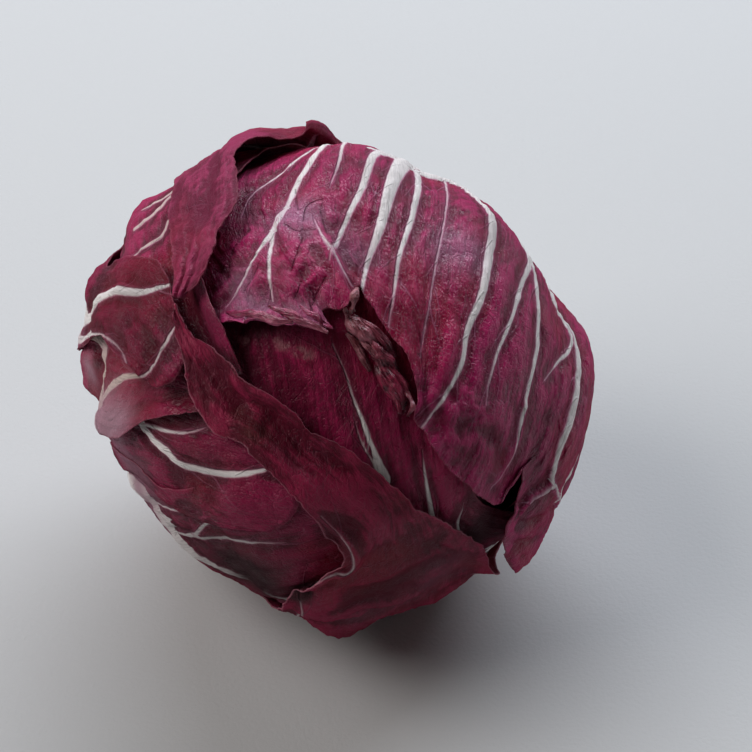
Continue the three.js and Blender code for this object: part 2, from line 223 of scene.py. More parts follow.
STEM_SINK = 1.2  # the cut face has dried hollow by this much
CUT_RINGS, STEM_RINGS = 6, 14  # of faces, on the cut and round the side
STEM_TOP, STEM_CUT = 13.0, 54.5  # how far its ends are from the head's centre
STEM_ANGLE = math.radians(15.2)  # between its axis and its side


def middle_face(bm):
    """The face with the most corners, which is what is left inside the rings set in from a rim."""
    return max(bm.faces, key=lambda face: len(face.verts))


bm = bmesh.new()
bmesh.ops.create_circle(bm, cap_ends=True, radius=1, segments=96)
bmesh.ops.inset_region(bm, faces=bm.faces[:], thickness=0.12)
for _ in range(CUT_RINGS):
    bmesh.ops.inset_region(bm, faces=[middle_face(bm)], thickness=0.13)
bmesh.ops.poke(bm, faces=[middle_face(bm)])
rim = [edge for edge in bm.edges if edge.is_boundary]
for _ in range(STEM_RINGS):
    grown = bmesh.ops.extrude_edge_only(bm, edges=rim)["geom"]
    rim = [edge for edge in grown if isinstance(edge, bmesh.types.BMEdge) and edge.is_boundary]
    verts = [vert for vert in grown if isinstance(vert, bmesh.types.BMVert)]
    bmesh.ops.translate(bm, verts=verts, vec=(0, 0, -1 / STEM_RINGS))
bmesh.ops.holes_fill(bm, edges=rim, sides=0)
stem_rise = np.cross(STEM_WAY, SIDE_WAY)
across_cut = []
for vert in bm.verts:
    x, y, z = vert.co
    out = math.hypot(x, y)
    bearing = math.atan2(y, x)
    grain = noise.noise((x * 3, y * 3, 2.0)) + 0.5 * noise.noise((x * 9, y * 9, 5.0))
    along = STEM_TOP + (STEM_CUT - STEM_TOP) * (1 + z)
    if z > -0.001:
        along -= STEM_SINK * (1 - out) + 0.3 * (grain + 1) + 7 * max(0, out - 0.9)
    wobble = 1 + 0.02 * math.sin(5 * bearing) + 0.012 * noise.noise((4 * x, 4 * y, along / 6))
    width = along * math.tan(STEM_ANGLE) * out * wobble * (0.95 if z > -0.001 and out > 0.99 else 0.97)
    point = STEM_WAY * along + width * (math.cos(bearing) * SIDE_WAY + math.sin(bearing) * stem_rise)
    across_cut.append(out if z > -0.03 else 1.25)
    vert.co = upright(point)
bmesh.ops.recalc_face_normals(bm, faces=bm.faces[:])
if bm.calc_volume(signed=True) < 0:
    bmesh.ops.reverse_faces(bm, faces=bm.faces[:])
stem = put("stem", bm, stem_finish(), "stem_core")
give(stem, "across_cut", across_cut)

# ------------------------------------------------------------------------------------------
# The heart. The tight bud of small pale leaves round the stem's top, closed under all the
# others. Its leaves overlap in a spiral, which shows as low swells on the bud.
# ------------------------------------------------------------------------------------------
HEART_LEAVES = 13
GOLDEN_TURN = 137.5  # from one leaf to the next, in degrees
HEART_SWELL = 0.6
HEART_SINK = 0.9  # how far the bud lies inside its CAD solid before its leaves swell it


def heart_finish():
    finish = Finish("heart_leaf", Roughness=0.45)
    place = own_place(finish)
    mottle = finish.cloud(place, 120, 4)
    finish.feed(
        Base_Color=finish.blend(mottle.step(0.35, 0.65), (0.55, 0.36, 0.36), (0.3, 0.05, 0.12)),
        Normal=finish.bump(finish.cloud(place, 500, 3), 0.0003),
    )
    return finish


bm = bmesh.new()
bmesh.ops.create_icosphere(bm, subdivisions=5, radius=1)
bm.verts.ensure_lookup_table()
ball = np.array([vert.co[:] for vert in bm.verts])
out_ways = ball / np.linalg.norm(ball, axis=1)[:, None]
heart_radius = np.nan_to_num(cad_radius(cad_tree("heart"), out_ways), nan=10.0)
turns = [math.radians(GOLDEN_TURN * k) for k in range(HEART_LEAVES)]
for vert, way, radius in zip(bm.verts, out_ways, heart_radius):
    rise = max(math.cos(turn) * way[0] + math.sin(turn) * way[2] for turn in turns)
    vert.co = upright(way * (radius - HEART_SINK + HEART_SWELL * rise))
bmesh.ops.smooth_vert(bm, verts=bm.verts[:], factor=0.5, use_axis_x=True, use_axis_y=True, use_axis_z=True)
put("bud", bm, heart_finish(), "heart")

# ------------------------------------------------------------------------------------------
# The inner leaves. Seven thin leaves, each wrapped half round the bud and folded over the apex.
# Every leaf from here on is laid on the pile of those before it.
# ------------------------------------------------------------------------------------------
BASE_ANGLE = 163.0  # where the leaves end beside the stem, in degrees from the apex
MEAN_RADIUS = 57.0  # of the whole head, which turns degrees of the map into millimetres


def map_points(pairs):
    """Places on the map, in degrees, from a list of [bearing, angle from the apex]."""
    pairs = np.asarray(pairs, float)
    bearing = np.radians(pairs[..., 0])
    return np.stack([pairs[..., 1] * np.cos(bearing), pairs[..., 1] * np.sin(bearing)], -1)


def map_ways(places):
    """The unit vectors from the head's centre that places on the map stand for."""
    from_apex = np.radians(np.hypot(places[..., 0], places[..., 1]))[..., None]
    bearing = np.arctan2(places[..., 1], places[..., 0])[..., None]
    sideways = np.cos(bearing) * SIDE_WAY + np.sin(bearing) * RISE_WAY
    return np.sin(from_apex) * sideways + np.cos(from_apex) * APEX_WAY


def smooth_line(points, shares):
    """Points at some shares of the length of a smooth (centripetal) curve through points."""
    points = np.asarray(points, float)
    path = np.vstack([2 * points[0] - points[1], points, 2 * points[-1] - points[-2]])
    gaps = np.sqrt(np.linalg.norm(np.diff(path[:, :2], axis=0), axis=1))[:, None] + 1e-9
    steps = np.linspace(0, 1, 24, endpoint=False)[:, None]
    dense = []
    for k in range(1, len(path) - 2):
        before, start, end, after = path[k - 1 : k + 3]
        back, gap, on = gaps[k - 1 : k + 2]
        leave = ((start - before) / back - (end - before) / (back + gap) + (end - start) / gap) * gap
        arrive = ((end - start) / gap - (after - start) / (gap + on) + (after - end) / on) * gap
        cube = 2 * start - 2 * end + leave + arrive
        square = -3 * start + 3 * end - 2 * leave - arrive
        dense.append(cube * steps**3 + square * steps**2 + leave * steps + start)
    dense = np.vstack([*dense, points[-1:]])
    length = np.concatenate([[0], np.cumsum(np.linalg.norm(np.diff(dense[:, :2], axis=0), axis=1))])
    return np.stack([np.interp(shares, length / length[-1], column) for column in dense.T], -1)


def soft_step(value, low, high):
    share = np.clip((value - low) / (high - low), 0, 1)
    return share * share * (3 - 2 * share)


def blurred(grid, cells):
    """A grid smoothed over about so many cells each way, its edges held."""
    reach = int(math.ceil(2.5 * cells))
    weights = np.exp(-0.5 * (np.arange(-reach, reach + 1) / cells) ** 2)
    weights /= weights.sum()
    for axis in (0, 1):
        padded = np.pad(grid, [(reach, reach) if k == axis else (0, 0) for k in (0, 1)], mode="edge")
        grid = np.apply_along_axis(np.convolve, axis, padded, weights, "valid")
    return grid


def widest(grid):
    """Each cell becomes the highest of itself and its eight neighbours."""
    padded = np.pad(grid, 1, mode="edge")
    rows = np.maximum(np.maximum(padded[:-2], padded[1:-1]), padded[2:])
    return np.maximum(np.maximum(rows[:, :-2], rows[:, 1:-1]), rows[:, 2:])


def ripple(points, size, seed):
    """Smooth noise, about -1 to 1, at points in millimetres, with swells of the given size."""
    flat = points.reshape(-1, points.shape[-1]) / size
    if flat.shape[1] == 2:
        flat = np.hstack([flat, np.full((len(flat), 1), seed)])
    else:
        flat = flat + seed
    return np.array([noise.noise(point) for point in flat]).reshape(points.shape[:-1])


class Pile:
    """How far out the leaves laid so far reach, over the head's map."""

    CELL = 0.75  # in degrees
    REACH = 171  # the same, from the map's middle to its edge
    MIDDLE = int(REACH / CELL)

    def __init__(self):
        self.heights = np.zeros((2 * self.MIDDLE + 1, 2 * self.MIDDLE + 1))

    def under(self, places):
        """The height below each place, with the steps at leaf margins widened by a cell."""
        spot = np.clip(places / self.CELL + self.MIDDLE, 1, 2 * self.MIDDLE - 2)
        low = np.floor(spot).astype(int)
        x, y = np.moveaxis(spot - low, -1, 0)
        wide = widest(self.heights)
        column, row = low[..., 0], low[..., 1]
        upper = wide[row + 1, column] * (1 - x) + wide[row + 1, column + 1] * x
        lower = wide[row, column] * (1 - x) + wide[row, column + 1] * x
        return lower * (1 - y) + upper * y

    def cover(self, places, radii):
        """Lays a leaf's grid on the pile, filling in between its places."""
        thirds = np.linspace(0, 1, 3, endpoint=False)
        for down in thirds:
            for over in thirds:
                spot, height = (
                    (grid[:-1, :-1] * (1 - over) + grid[:-1, 1:] * over) * (1 - down)
                    + (grid[1:, :-1] * (1 - over) + grid[1:, 1:] * over) * down
                    for grid in (places, radii[..., None])
                )
                cell = np.clip(np.rint(spot / self.CELL).astype(int) + self.MIDDLE, 0, 2 * self.MIDDLE)
                np.maximum.at(self.heights, (cell[..., 1], cell[..., 0]), height[..., 0])


pile = Pile()
AIR = 0.2  # least gap between two leaves
GIVE = 0.3  # and how much of a leaf's own relief may sink below the level it is laid at
FAR = 99  # a distance that stands for none


class Leaf:
    """A leaf as a grid from its left side to its right and from its foot to its tip.

    stem holds the bearing of its middle at the stem and half its width there, in degrees. left, tip
    and right are its outline on the map, and ragged is how deep its margins are nibbled.
    """

    LEFT, RIGHT, TIP = 1, 2, 3  # the margins
    GAPS = ("rib_gap", "rib_side", "vein_gap", "vein_side", "crease_gap", "crease_side")
    MARKS = ("rib_half", "vein_half", "sheen_and_bloom", "bruise", "scar", "painted_shade")

    def __init__(self, node, stem, left, tip, right, cells, ragged=0.5, seed=1.0):
        self.node, self.seed = node, seed
        wide, long = cells
        across, along = np.linspace(0, 1, wide + 1), np.linspace(0, 1, long + 1)
        middle, half = stem
        foot = map_points(np.stack([middle + half * (1 - 2 * across), np.full(wide + 1, BASE_ANGLE)], -1))
        tip = map_points(tip)
        left = self.margin([foot[0], *map_points(left), tip[0]], along, ragged, self.LEFT)
        right = self.margin([foot[-1], *map_points(right), tip[-1]], along, ragged, self.RIGHT)
        end = self.margin(tip, across, ragged, self.TIP)
        over, up = across[None, :, None], along[:, None, None]
        corners = (1 - over) * (1 - up) * foot[0] + over * (1 - up) * foot[-1]
        corners = corners + (1 - over) * up * tip[0] + over * up * tip[-1]
        sides = (1 - over) * left[:, None] + over * right[:, None] + (1 - up) * foot[None] + up * end[None]
        self.places = sides - corners
        self.ways = map_ways(self.places)
        self.across, self.along = over[..., 0], up[..., 0]
        self.measure()
        self.base = self.cad_skin()
        self.rise = np.zeros(self.base.shape)
        self.slide = np.zeros((*self.base.shape, 3))
        self.fields = {**dict.fromkeys(self.GAPS, FAR), **dict.fromkeys(self.MARKS, 0)}

    def margin(self, points, shares, ragged, side):
        """A smooth side, torn and nibbled by up to about ragged millimetres."""
        line = smooth_line(points, shares)
        along = np.gradient(line, axis=0)
        inward = np.stack([-along[:, 1], along[:, 0]], -1)
        inward /= np.linalg.norm(inward, axis=1)[:, None] + 1e-9
        place = np.stack([shares * np.linalg.norm(np.diff(line, axis=0), axis=1).sum(), shares * 0], -1)
        tooth = 0.6 * ripple(place, 9, self.seed + side) + 0.7 * ripple(place, 3.5, self.seed + 5 + side)
        tooth += 0.8 * np.abs(ripple(place, 2.2, self.seed + 9 + side))
        if side == self.TIP:
            held = np.sin(np.pi * shares) ** 0.3
        else:
            held = soft_step(shares, 0.25, 0.5) * (shares < 1)
        return line + inward * (ragged * tooth * held)[:, None]

    def measure(self):
        """Distances over the leaf, in millimetres: from its sides, its tip and its foot."""
        spots = self.ways * MEAN_RADIUS
        over = np.linalg.norm(np.diff(spots, axis=1), axis=2)
        self.from_left = np.pad(np.cumsum(over, axis=1), ((0, 0), (1, 0)))
        self.from_right = self.from_left[:, -1:] - self.from_left
        up = np.linalg.norm(np.diff(spots, axis=0), axis=2)
        self.from_foot = np.pad(np.cumsum(up, axis=0), ((1, 0), (0, 0)))
        self.from_tip = self.from_foot[-1:] - self.from_foot
        self.from_margin = np.minimum(np.minimum(self.from_left, self.from_right), self.from_tip)

    def cad_skin(self, samples=48):
        """The outer skin of the leaf's CAD solid, with its facets smoothed away."""
        rows = np.unique(np.linspace(0, self.ways.shape[0] - 1, samples).astype(int))
        columns = np.unique(np.linspace(0, self.ways.shape[1] - 1, samples).astype(int))
        some = self.ways[np.ix_(rows, columns)]
        radii = cad_radius(cad_tree(self.node), some.reshape(-1, 3)).reshape(some.shape[:2])
        while np.isnan(radii).any():
            padded = np.pad(radii, 1, constant_values=np.nan)
            near = np.stack([padded[:-2, 1:-1], padded[2:, 1:-1], padded[1:-1, :-2], padded[1:-1, 2:]])
            known = ~np.isnan(near)
            mean = np.where(known, near, 0).sum(0) / np.maximum(known.sum(0), 1)
            radii = np.where(np.isnan(radii) & known.any(0), mean, radii)
        radii = blurred(radii, 1.3)
        wide = np.stack([np.interp(np.arange(self.ways.shape[1]), columns, row) for row in radii])
        return np.stack([np.interp(np.arange(self.ways.shape[0]), rows, column) for column in wide.T], -1)

    def line(self, points, spacing=0.4):
        """A smooth line over the head through [bearing, angle, ...] points: spots in millimetres
        and the other numbers of the points along it."""
        points = np.asarray(points, float)
        path = np.hstack([map_points(points[:, :2]), points[:, 2:]])
        rough = smooth_line(path, np.linspace(0, 1, 60))
        length = np.linalg.norm(np.diff(map_ways(rough[:, :2]), axis=0), axis=1).sum() * MEAN_RADIUS
        fine = smooth_line(path, np.linspace(0, 1, max(3, int(length / spacing))))
        return map_ways(fine[:, :2]) * MEAN_RADIUS, fine[:, 2:]

    def near_line(self, spots, numbers):
        """For each place of the leaf: the distance to the nearest spot of some lines, the same
        with a sign that tells its side, and that spot's numbers."""
        spots = np.vstack(spots)
        directions = np.gradient(spots, axis=0)
        # where one line ends and the next begins, each keeps its own direction
        breaks = np.flatnonzero(np.linalg.norm(np.diff(spots, axis=0), axis=1) > 1.5)
        directions[breaks] = directions[breaks - 1]
        directions[breaks + 1] = directions[np.minimum(breaks + 2, len(spots) - 1)]
        directions /= np.linalg.norm(directions, axis=1)[:, None] + 1e-9
        tree = kdtree.KDTree(len(spots))
        for k, spot in enumerate(spots):
            tree.insert(spot, k)
        tree.balance()
        here = (self.ways * MEAN_RADIUS).reshape(-1, 3)
        found = np.array([tree.find(point)[1:] for point in here])
        nearest, gap = found[:, 0].astype(int), found[:, 1]
        away = here - spots[nearest]
        side = np.einsum("ij,ij->i", np.cross(directions[nearest], away), self.ways.reshape(-1, 3))
        shape = self.base.shape
        numbers = np.vstack(numbers)[nearest].reshape(*shape, -1)
        return gap.reshape(shape), side.reshape(shape), np.moveaxis(numbers, -1, 0)

    def gap_to(self, bearing, angle):
        """How far each place of the leaf is, in millimetres, from a place of the map."""
        middle = map_ways(map_points([bearing, angle])) * MEAN_RADIUS
        return np.linalg.norm(self.ways * MEAN_RADIUS - middle, axis=-1)

    def ribs(self, *lines, proud=0.2, tallest=1.1, puff=0.5):
        """White ribs along lines of [bearing, angle, width], proud of a blade puffed between them."""
        laid = [self.line(line) for line in lines]
        self.laid_ribs = laid
        # a rib that leaves another counts its sides the other way round, so the two meet smoothly
        hands = []
        for k, (spots, _) in enumerate(laid):
            near = [(np.linalg.norm(laid[j][0] - spots[1], axis=1).min(), hands[j]) for j in range(k)]
            hands.append(-min(near)[1] if near else 1.0)
        numbers = [np.hstack([widths, np.full_like(widths, hand)]) for (_, widths), hand in zip(laid, hands)]
        gap, side, (width, hand) = self.near_line([spots for spots, _ in laid], numbers)
        half = 0.56 * width
        self.fields.update(rib_gap=gap, rib_side=side * hand, rib_half=half)
        # a round ridge, a groove on each side of it, and beyond them the puffed blade
        height = np.minimum(proud * width, tallest)
        self.rise += height * np.exp(-((gap / (half + 0.25)) ** 2) * 1.2)
        self.rise -= 0.5 * height * np.exp(-(((gap - half - 0.8) / 0.7) ** 2))
        self.rise += puff * soft_step(gap, half, half + 4.5) * (1 - soft_step(gap, half + 5, half + 14))

    def branches(self, every=9.0, reach=14.0, seed=3, width=0.34):
        """Thin side veins that leave the ribs at a slant and curve away towards the margin."""
        dice = np.random.default_rng(seed)
        spacing = 0.5
        spots, widths = [], []
        for line, sizes in self.laid_ribs:
            step = 0.0
            side = 1
            for k in range(2, len(line) - 2):
                step += np.linalg.norm(line[k] - line[k - 1])
                if step < every * dice.uniform(0.6, 1.5):
                    continue
                step = 0.0
                if dice.random() < 0.8:
                    side = -side
                way = line[k] / np.linalg.norm(line[k])
                course = line[k + 1] - line[k - 1]
                course /= np.linalg.norm(course)
                turn = math.radians(dice.uniform(14, 36)) * side
                course = course * math.cos(turn) + np.cross(way, course) * math.sin(turn)
                start = line[k] + course * sizes[k][0] * 0.35
                count = int(reach * dice.uniform(0.4, 1.2) / spacing)
                bend = -side * dice.uniform(0.2, 1.4) * math.radians(30) / max(count, 1)
                path = [start]
                for _ in range(count):
                    way = path[-1] / np.linalg.norm(path[-1])
                    wander = bend + math.radians(dice.normal(0, 2.5))
                    course = course * math.cos(wander) + np.cross(way, course) * math.sin(wander)
                    ahead = path[-1] + course * spacing
                    path.append(ahead / np.linalg.norm(ahead) * MEAN_RADIUS)
                spots.append(np.array(path))
                fade = np.linspace(1, 0.15, len(path))[:, None]
                widths.append(width * dice.uniform(0.6, 1.1) * fade)
        gap, side, (size,) = self.near_line(spots, widths)
        self.fields.update(vein_gap=gap, vein_side=side, vein_half=size / 2)
        self.rise -= 0.12 * np.exp(-((gap / 0.7) ** 2)) * (size > 0.1)

    def fine_creases(self, *lines, deep=0.25):
        """Thin creases along lines of [bearing, angle], grooved into the relief and painted dark with shade
        by the material.
        """
        laid = [self.line([[*point, 0] for point in line])[0] for line in lines]
        gap, side, _ = self.near_line(laid, [np.zeros((len(spots), 1)) for spots in laid])
        self.fields.update(crease_gap=gap, crease_side=side)
        self.rise -= deep * np.exp(-((gap / 0.6) ** 2)) - 0.5 * deep * np.exp(-(((gap - 1.2) / 0.7) ** 2))

    def crease(self, points, width, height, step=0.0, fade=0.2):
        """A ridge, or a groove if height is below 0, with a drop of step to the line's left."""
        spots, _ = self.line([[*point, 0] for point in points])
        share = np.linspace(0, 1, len(spots))[:, None]
        gap, side, (share,) = self.near_line([spots], [share])
        ends = soft_step(share, 0, fade) * (1 - soft_step(share, 1 - fade, 1))
        beyond = np.exp(-(np.maximum(gap - np.abs(side), 0) / width) ** 2)
        self.rise += height * ends * beyond * np.exp(-((gap / width) ** 2))
        drop = soft_step(side, 0.0, width) * np.exp(-((gap / (6 * width)) ** 2))
        self.rise -= step * ends * beyond * drop

    def crumple(self, amount, size=9.0, pleats=0.25):
        """Soft swells and finer wrinkles over the whole blade, and pleats along its length."""
        spots = self.ways * MEAN_RADIUS
        for share, finer, shift in ((1, 1, 0), (0.45, 2.3, 7), (0.2, 5, 13)):
            self.rise += share * amount * ripple(spots, size / finer, self.seed + shift)
        lengths = np.stack([self.from_left / 3.2, self.from_foot / 17], -1)
        self.rise += pleats * (0.5 - np.clip(2.4 * np.abs(ripple(lengths, 1, self.seed + 17)), 0, 1))

    def wrinkle(self, amount, size, *marks):
        """Sharp small folds in patches: [bearing, angle, radius in millimetres] each."""
        here = self.ways * MEAN_RADIUS
        patch = np.zeros(self.base.shape)
        for bearing, angle, radius in marks:
            patch = np.maximum(patch, np.exp(-((self.gap_to(bearing, angle) / radius) ** 4)))
        folds = 1 - np.clip(3 * np.abs(ripple(here, size, self.seed + 41)), 0, 1)
        folds += 0.5 - np.clip(1.5 * np.abs(ripple(here, size / 2, self.seed + 43)), 0, 0.5)
        self.rise += amount * patch * (folds - 0.5)

    def fray(self, amount, reach, size=3.0, start=0.0, end=1.0):
        """Crumples the tip margin between two shares of its width."""
        held = soft_step(self.across, start, start + 0.02) * (1 - soft_step(self.across, end - 0.02, end))
        near = held * np.exp(-((self.from_tip / reach) ** 2))
        spots = self.ways * MEAN_RADIUS
        self.rise += amount * near * (ripple(spots, size, self.seed + 51) + 0.3)
        for axis in range(3):
            self.slide[..., axis] += 0.6 * amount * near * ripple(spots, size, self.seed + 53 + axis)

    def swell(self, bearing, angle, radius, height):
        """Raises the leaf in a soft hill at a place of the map, or sinks it if height is below 0."""
        self.rise += height * np.exp(-((self.gap_to(bearing, angle) / radius) ** 2))

    def spots(self, field, *marks):
        """A field of soft patches: [bearing, angle, radius in millimetres, strength] each."""
        total = np.zeros(self.base.shape)
        for bearing, angle, radius, strength in marks:
            total += strength * np.exp(-((self.gap_to(bearing, angle) / radius) ** 2))
        self.fields[field] = total

    def stretch(self, side, start, end, soft, wave, size, seed):
        """1 between two shares of a margin's length and 0 beyond them, wavering by about wave."""
        share = self.across if side == "tip" else self.along
        held = soft_step(share, start - soft, start + soft) * (1 - soft_step(share, end - soft, end + soft))
        swing = ripple(np.stack([share * 90, share * 0], -1), size, self.seed + seed)
        return held * (1 + wave * swing)

    def lift(self, side, height, reach, start=0.3, end=1.0, wave=0.0):
        """Lifts the leaf towards its left, right or tip margin, between two shares of its length."""
        gap = getattr(self, "from_" + side)
        held = self.stretch(side, start, end, soft=0.08, wave=wave, size=11, seed=21)
        self.rise += height * held * np.exp(-((gap / reach) ** 2))

    def roll(self, side, radius, angle, start=0.3, end=1.0, wave=0.25):
        """Rolls a margin outwards round a small radius."""
        gap = getattr(self, "from_" + side)
        held = self.stretch(side, start, end, soft=0.06, wave=wave, size=13, seed=31)
        reach = radius * math.radians(angle) * held
        turned = np.clip(reach - gap, 0, None) / radius
        outward = np.gradient(self.ways, axis=0 if side == "tip" else 1) * (-1 if side == "left" else 1)
        outward /= np.linalg.norm(outward, axis=-1)[..., None] + 1e-12
        back = radius * np.sin(turned) - radius * turned
        up = radius * (1 - np.cos(turned))
        self.slide += outward * back[..., None] + self.ways * up[..., None]

    def lay(self, blade=0.5, stalk=1.6, edge=0.3):
        """Rests the leaf on the pile and adds it to the pile. stalk is how much its stalk thickens it."""
        # its stalk is a thicker strip up the middle of its lower half, and its margins are thin
        beside = np.exp(-(((self.across - 0.5) / 0.22) ** 2)) * (1 - soft_step(self.along, 0.03, 0.55))
        self.depth = blade + stalk * beside
        self.depth = edge + (self.depth - edge) * soft_step(self.from_margin, 0, 2.2)
        cell = max(np.median(np.diff(self.from_left, axis=1)), 0.2)
        inner = self.base - self.depth
        floor = pile.under(self.places) + AIR
        for spread in (3.0, 1.6):
            short = np.maximum(floor + GIVE - inner, 0)
            inner = inner + blurred(widest(widest(short)), spread / cell)
        inner = inner + self.rise
        inner = inner + blurred(widest(np.maximum(floor - inner, 0)), 0.5 / cell)
        self.inner = np.maximum(inner, floor)
        outer = self.inner + self.depth
        # the outer skin's height above its smoothed self, which the material turns into painted light on
        # ridges and painted shade in hollows
        self.fields["ridge"] = np.clip(outer - blurred(outer, 2.2 / cell), -1, 1)
        pile.cover(self.places, outer)

    def solid(self):
        """The closed leaf: a flat slab, whose two skins are then moved to their places."""
        rows, columns = self.inner.shape
        bm = bmesh.new()
        bmesh.ops.create_grid(bm, x_segments=columns - 1, y_segments=rows - 1, size=1)
        bmesh.ops.solidify(bm, geom=bm.faces[:], thickness=1)
        radii = (self.inner + self.depth, self.inner)
        skins = [pressed(self.ways * radius[..., None] + self.slide) for radius in radii]
        self.vert_cells = []
        heights = [vert.co.z for vert in bm.verts]
        top = max(heights)
        for vert in bm.verts:
            column = round((1 - vert.co.x) / 2 * (columns - 1))
            row = round((vert.co.y + 1) / 2 * (rows - 1))
            self.vert_cells.append(row * columns + column)
            vert.co = skins[0 if top - vert.co.z < 0.5 else 1][row, column]
        return bm

    def finish(self, finish, slot):
        """Makes the leaf's object and gives it the fields that its material reads."""
        piece = put(self.node + "_blade", self.solid(), finish, self.node)
        self.fields["edge"] = self.from_margin
        self.fields["foot"] = np.hypot(*np.moveaxis(self.places, -1, 0))
        for name, values in self.fields.items():
            give(piece, name, np.broadcast_to(values, self.inner.shape).ravel()[self.vert_cells])
        from_middle = self.from_left - self.from_left[:, -1:] / 2
        blade = np.stack([from_middle, self.from_foot, 0 * from_middle], -1)
        give(piece, "blade", blade.reshape(-1, 3)[self.vert_cells])


PRESS = 0.7  # the head's own weight presses the lowest part of every layer flat within this height


def pressed(points):
    """Points in millimetres from the centre, in the frame, with the underside pressed flat."""
    depth = -points[..., 2]
    share = np.clip((depth - (CENTRE_HEIGHT - PRESS)) / (2 * PRESS), 0, 1)
    flat = CENTRE_HEIGHT - PRESS + PRESS * (1 - (1 - share) ** 2)
    points = points.copy()
    points[..., 2] = np.where(depth > CENTRE_HEIGHT - PRESS, -flat, points[..., 2])
    return upright(points)


def leaf_finish(
    name, deep, bright, warm, rib, vein,
    gloss=0.34, shine=0.2, mottle=0.45, rim=(0.3, 0.06, 0.1), sheen_colour=(0.32, 0.14, 0.2),
):
    """A leaf's skin: wine-coloured between pale ribs, with a net of fine veins, a waxy shine, and patches of
    painted sheen and painted shade.
    """
    finish = Finish(name, Specular_IOR_Level=shine)
    blade = finish.attribute("blade", "Vector")
    place = own_place(finish)
    wide = finish.cloud(place, 75, 4)
    fine = finish.cloud(place, 420, 4)
    blotch = finish.cloud(place, 190, 3)
    along = finish.scaled(blade, (0.9, 0.07, 1))
    streak = finish.cloud(along, 1.0, 4, 0.6)
    hair = finish.cloud(finish.scaled(blade, (2.2, 0.1, 1)), 1.0, 3, 0.6)
    tone = (wide - 0.5) * mottle + (streak - 0.5) * 0.65 + (fine - 0.5) * 0.28 + (blotch - 0.5) * 0.25
    # painted relief shading: lighter on the ridges, darker in the hollows
    tone = tone + finish.attribute("ridge") * 0.55
    skin = finish.blend(tone.step(-0.16, 0.2), deep, bright)
    skin = finish.blend(finish.cloud(place, 34, 3).step(0.48, 0.66) * 0.6, skin, warm)
    skin = finish.blend(hair.step(0.58, 0.72) * 0.4, skin, darker(deep, 0.4))
    # the net of fine veins
    wander = finish.node("ShaderNodeTexNoise", {}, {"Vector": blade, "Scale": 0.35, "Detail": 2}, "Color")
    shaken = finish.node("ShaderNodeVectorMath", {"operation": "MULTIPLY_ADD"}, [wander, (2.4,) * 3, blade])
    net = finish.threads(finish.scaled(shaken, (1, 0.4, 1)), 0.4).step(0.05, 0.0)
    mesh = finish.threads(shaken, 1.15).step(0.09, 0.0)
    patchy = finish.cloud(place, 60, 2).step(0.42, 0.62)
    skin = finish.blend((net * 0.22 + mesh * 0.1) * patchy, skin, vein)
    # thin side veins, then the ribs, each fading through pink into the skin
    wobble = (fine - 0.5) * 0.4
    thin = finish.attribute("vein_half")
    over_vein = finish.attribute("vein_side").math("ABSOLUTE") - thin
    near_vein = finish.attribute("vein_gap").step(1.2, 0.6)
    vein_mask = over_vein.step(0.16, -0.04) * near_vein * thin.step(0.02, 0.14)
    skin = finish.blend(vein_mask * 0.42, skin, vein)
    half = finish.attribute("rib_half")
    over_rib = finish.attribute("rib_side").math("ABSOLUTE") - half + wobble
    beside = finish.attribute("rib_gap") - half
    near_rib = beside.step(0.6, 0.25)
    blush = over_rib.step(1.3, -0.1) * beside.step(1.6, 0.6)
    skin = finish.blend(blush * 0.16, skin, vein)
    pale = half.step(0.08, 0.5)
    strand = finish.cloud(finish.scaled(blade, (2.6, 0.12, 1)), 1.0, 3)
    rib_colour = finish.blend(strand.step(0.4, 0.7) * 0.8, rib, darker(rib, 0.7))
    rib_colour = finish.blend(over_rib.step(0.05, -0.4) * 0.8 + 0.2, vein, rib_colour)
    rib_colour = finish.blend(pale * 0.7 + 0.3, vein, rib_colour)
    rib_mask = over_rib.step(0.22, -0.16) * near_rib
    skin = finish.blend(rib_mask * (0.6 + 0.38 * pale), skin, rib_colour)
    # the stalk is white, and its cut end is tan
    foot = finish.attribute("foot") + (wide - 0.5) * 14
    skin = finish.blend(foot.step(134, 157), skin, rib)
    cut = finish.attribute("foot") + (fine - 0.5) * 1.2
    skin = finish.blend(cut.step(161.2, 162.6), skin, (0.3, 0.17, 0.08))
    # patches of painted sheen (partly a real waxy bloom), painted shade, bruise and scar, fine creases
    # painted dark with shade, and the thin rim painted paler as a highlight
    # painted sheen: pale lilac where reflections and light fall, partly a real waxy bloom
    sheen_and_bloom = finish.attribute("sheen_and_bloom") * (wide + 0.5)
    skin = finish.blend(sheen_and_bloom.math("MINIMUM", 0.85), skin, sheen_colour)
    # painted shade: hollows and sides away from the light darkened towards the deep colour
    skin = finish.blend(finish.attribute("painted_shade") * (wide + 0.5), skin, darker(deep, 0.35))
    bruise = finish.attribute("bruise") * (fine * 1.6 - 0.2)
    skin = finish.blend(bruise.math("MAXIMUM", 0).math("MINIMUM", 0.9), skin, (0.075, 0.028, 0.014))
    scar = finish.attribute("scar") * (fine * 2.2 - 0.45)
    skin = finish.blend(scar.step(0.25, 0.75) * 0.8, skin, (0.3, 0.1, 0.12))
    # painted shade along the fine creases
    by_crease = finish.attribute("crease_side").math("ABSOLUTE") + wobble * 0.3
    near_crease = finish.attribute("crease_gap").step(0.8, 0.4)
    crease_mask = by_crease.step(0.24, 0.04) * near_crease * fine.step(0.35, 0.6)
    skin = finish.blend(crease_mask * 0.42, skin, darker(deep, 0.25))
    # the thin margin painted paler, a painted highlight where the edge catches the light
    edge = finish.attribute("edge") + (fine - 0.5) * 0.8
    skin = finish.blend(edge.step(0.45, 0.0) * 0.6, skin, rim)
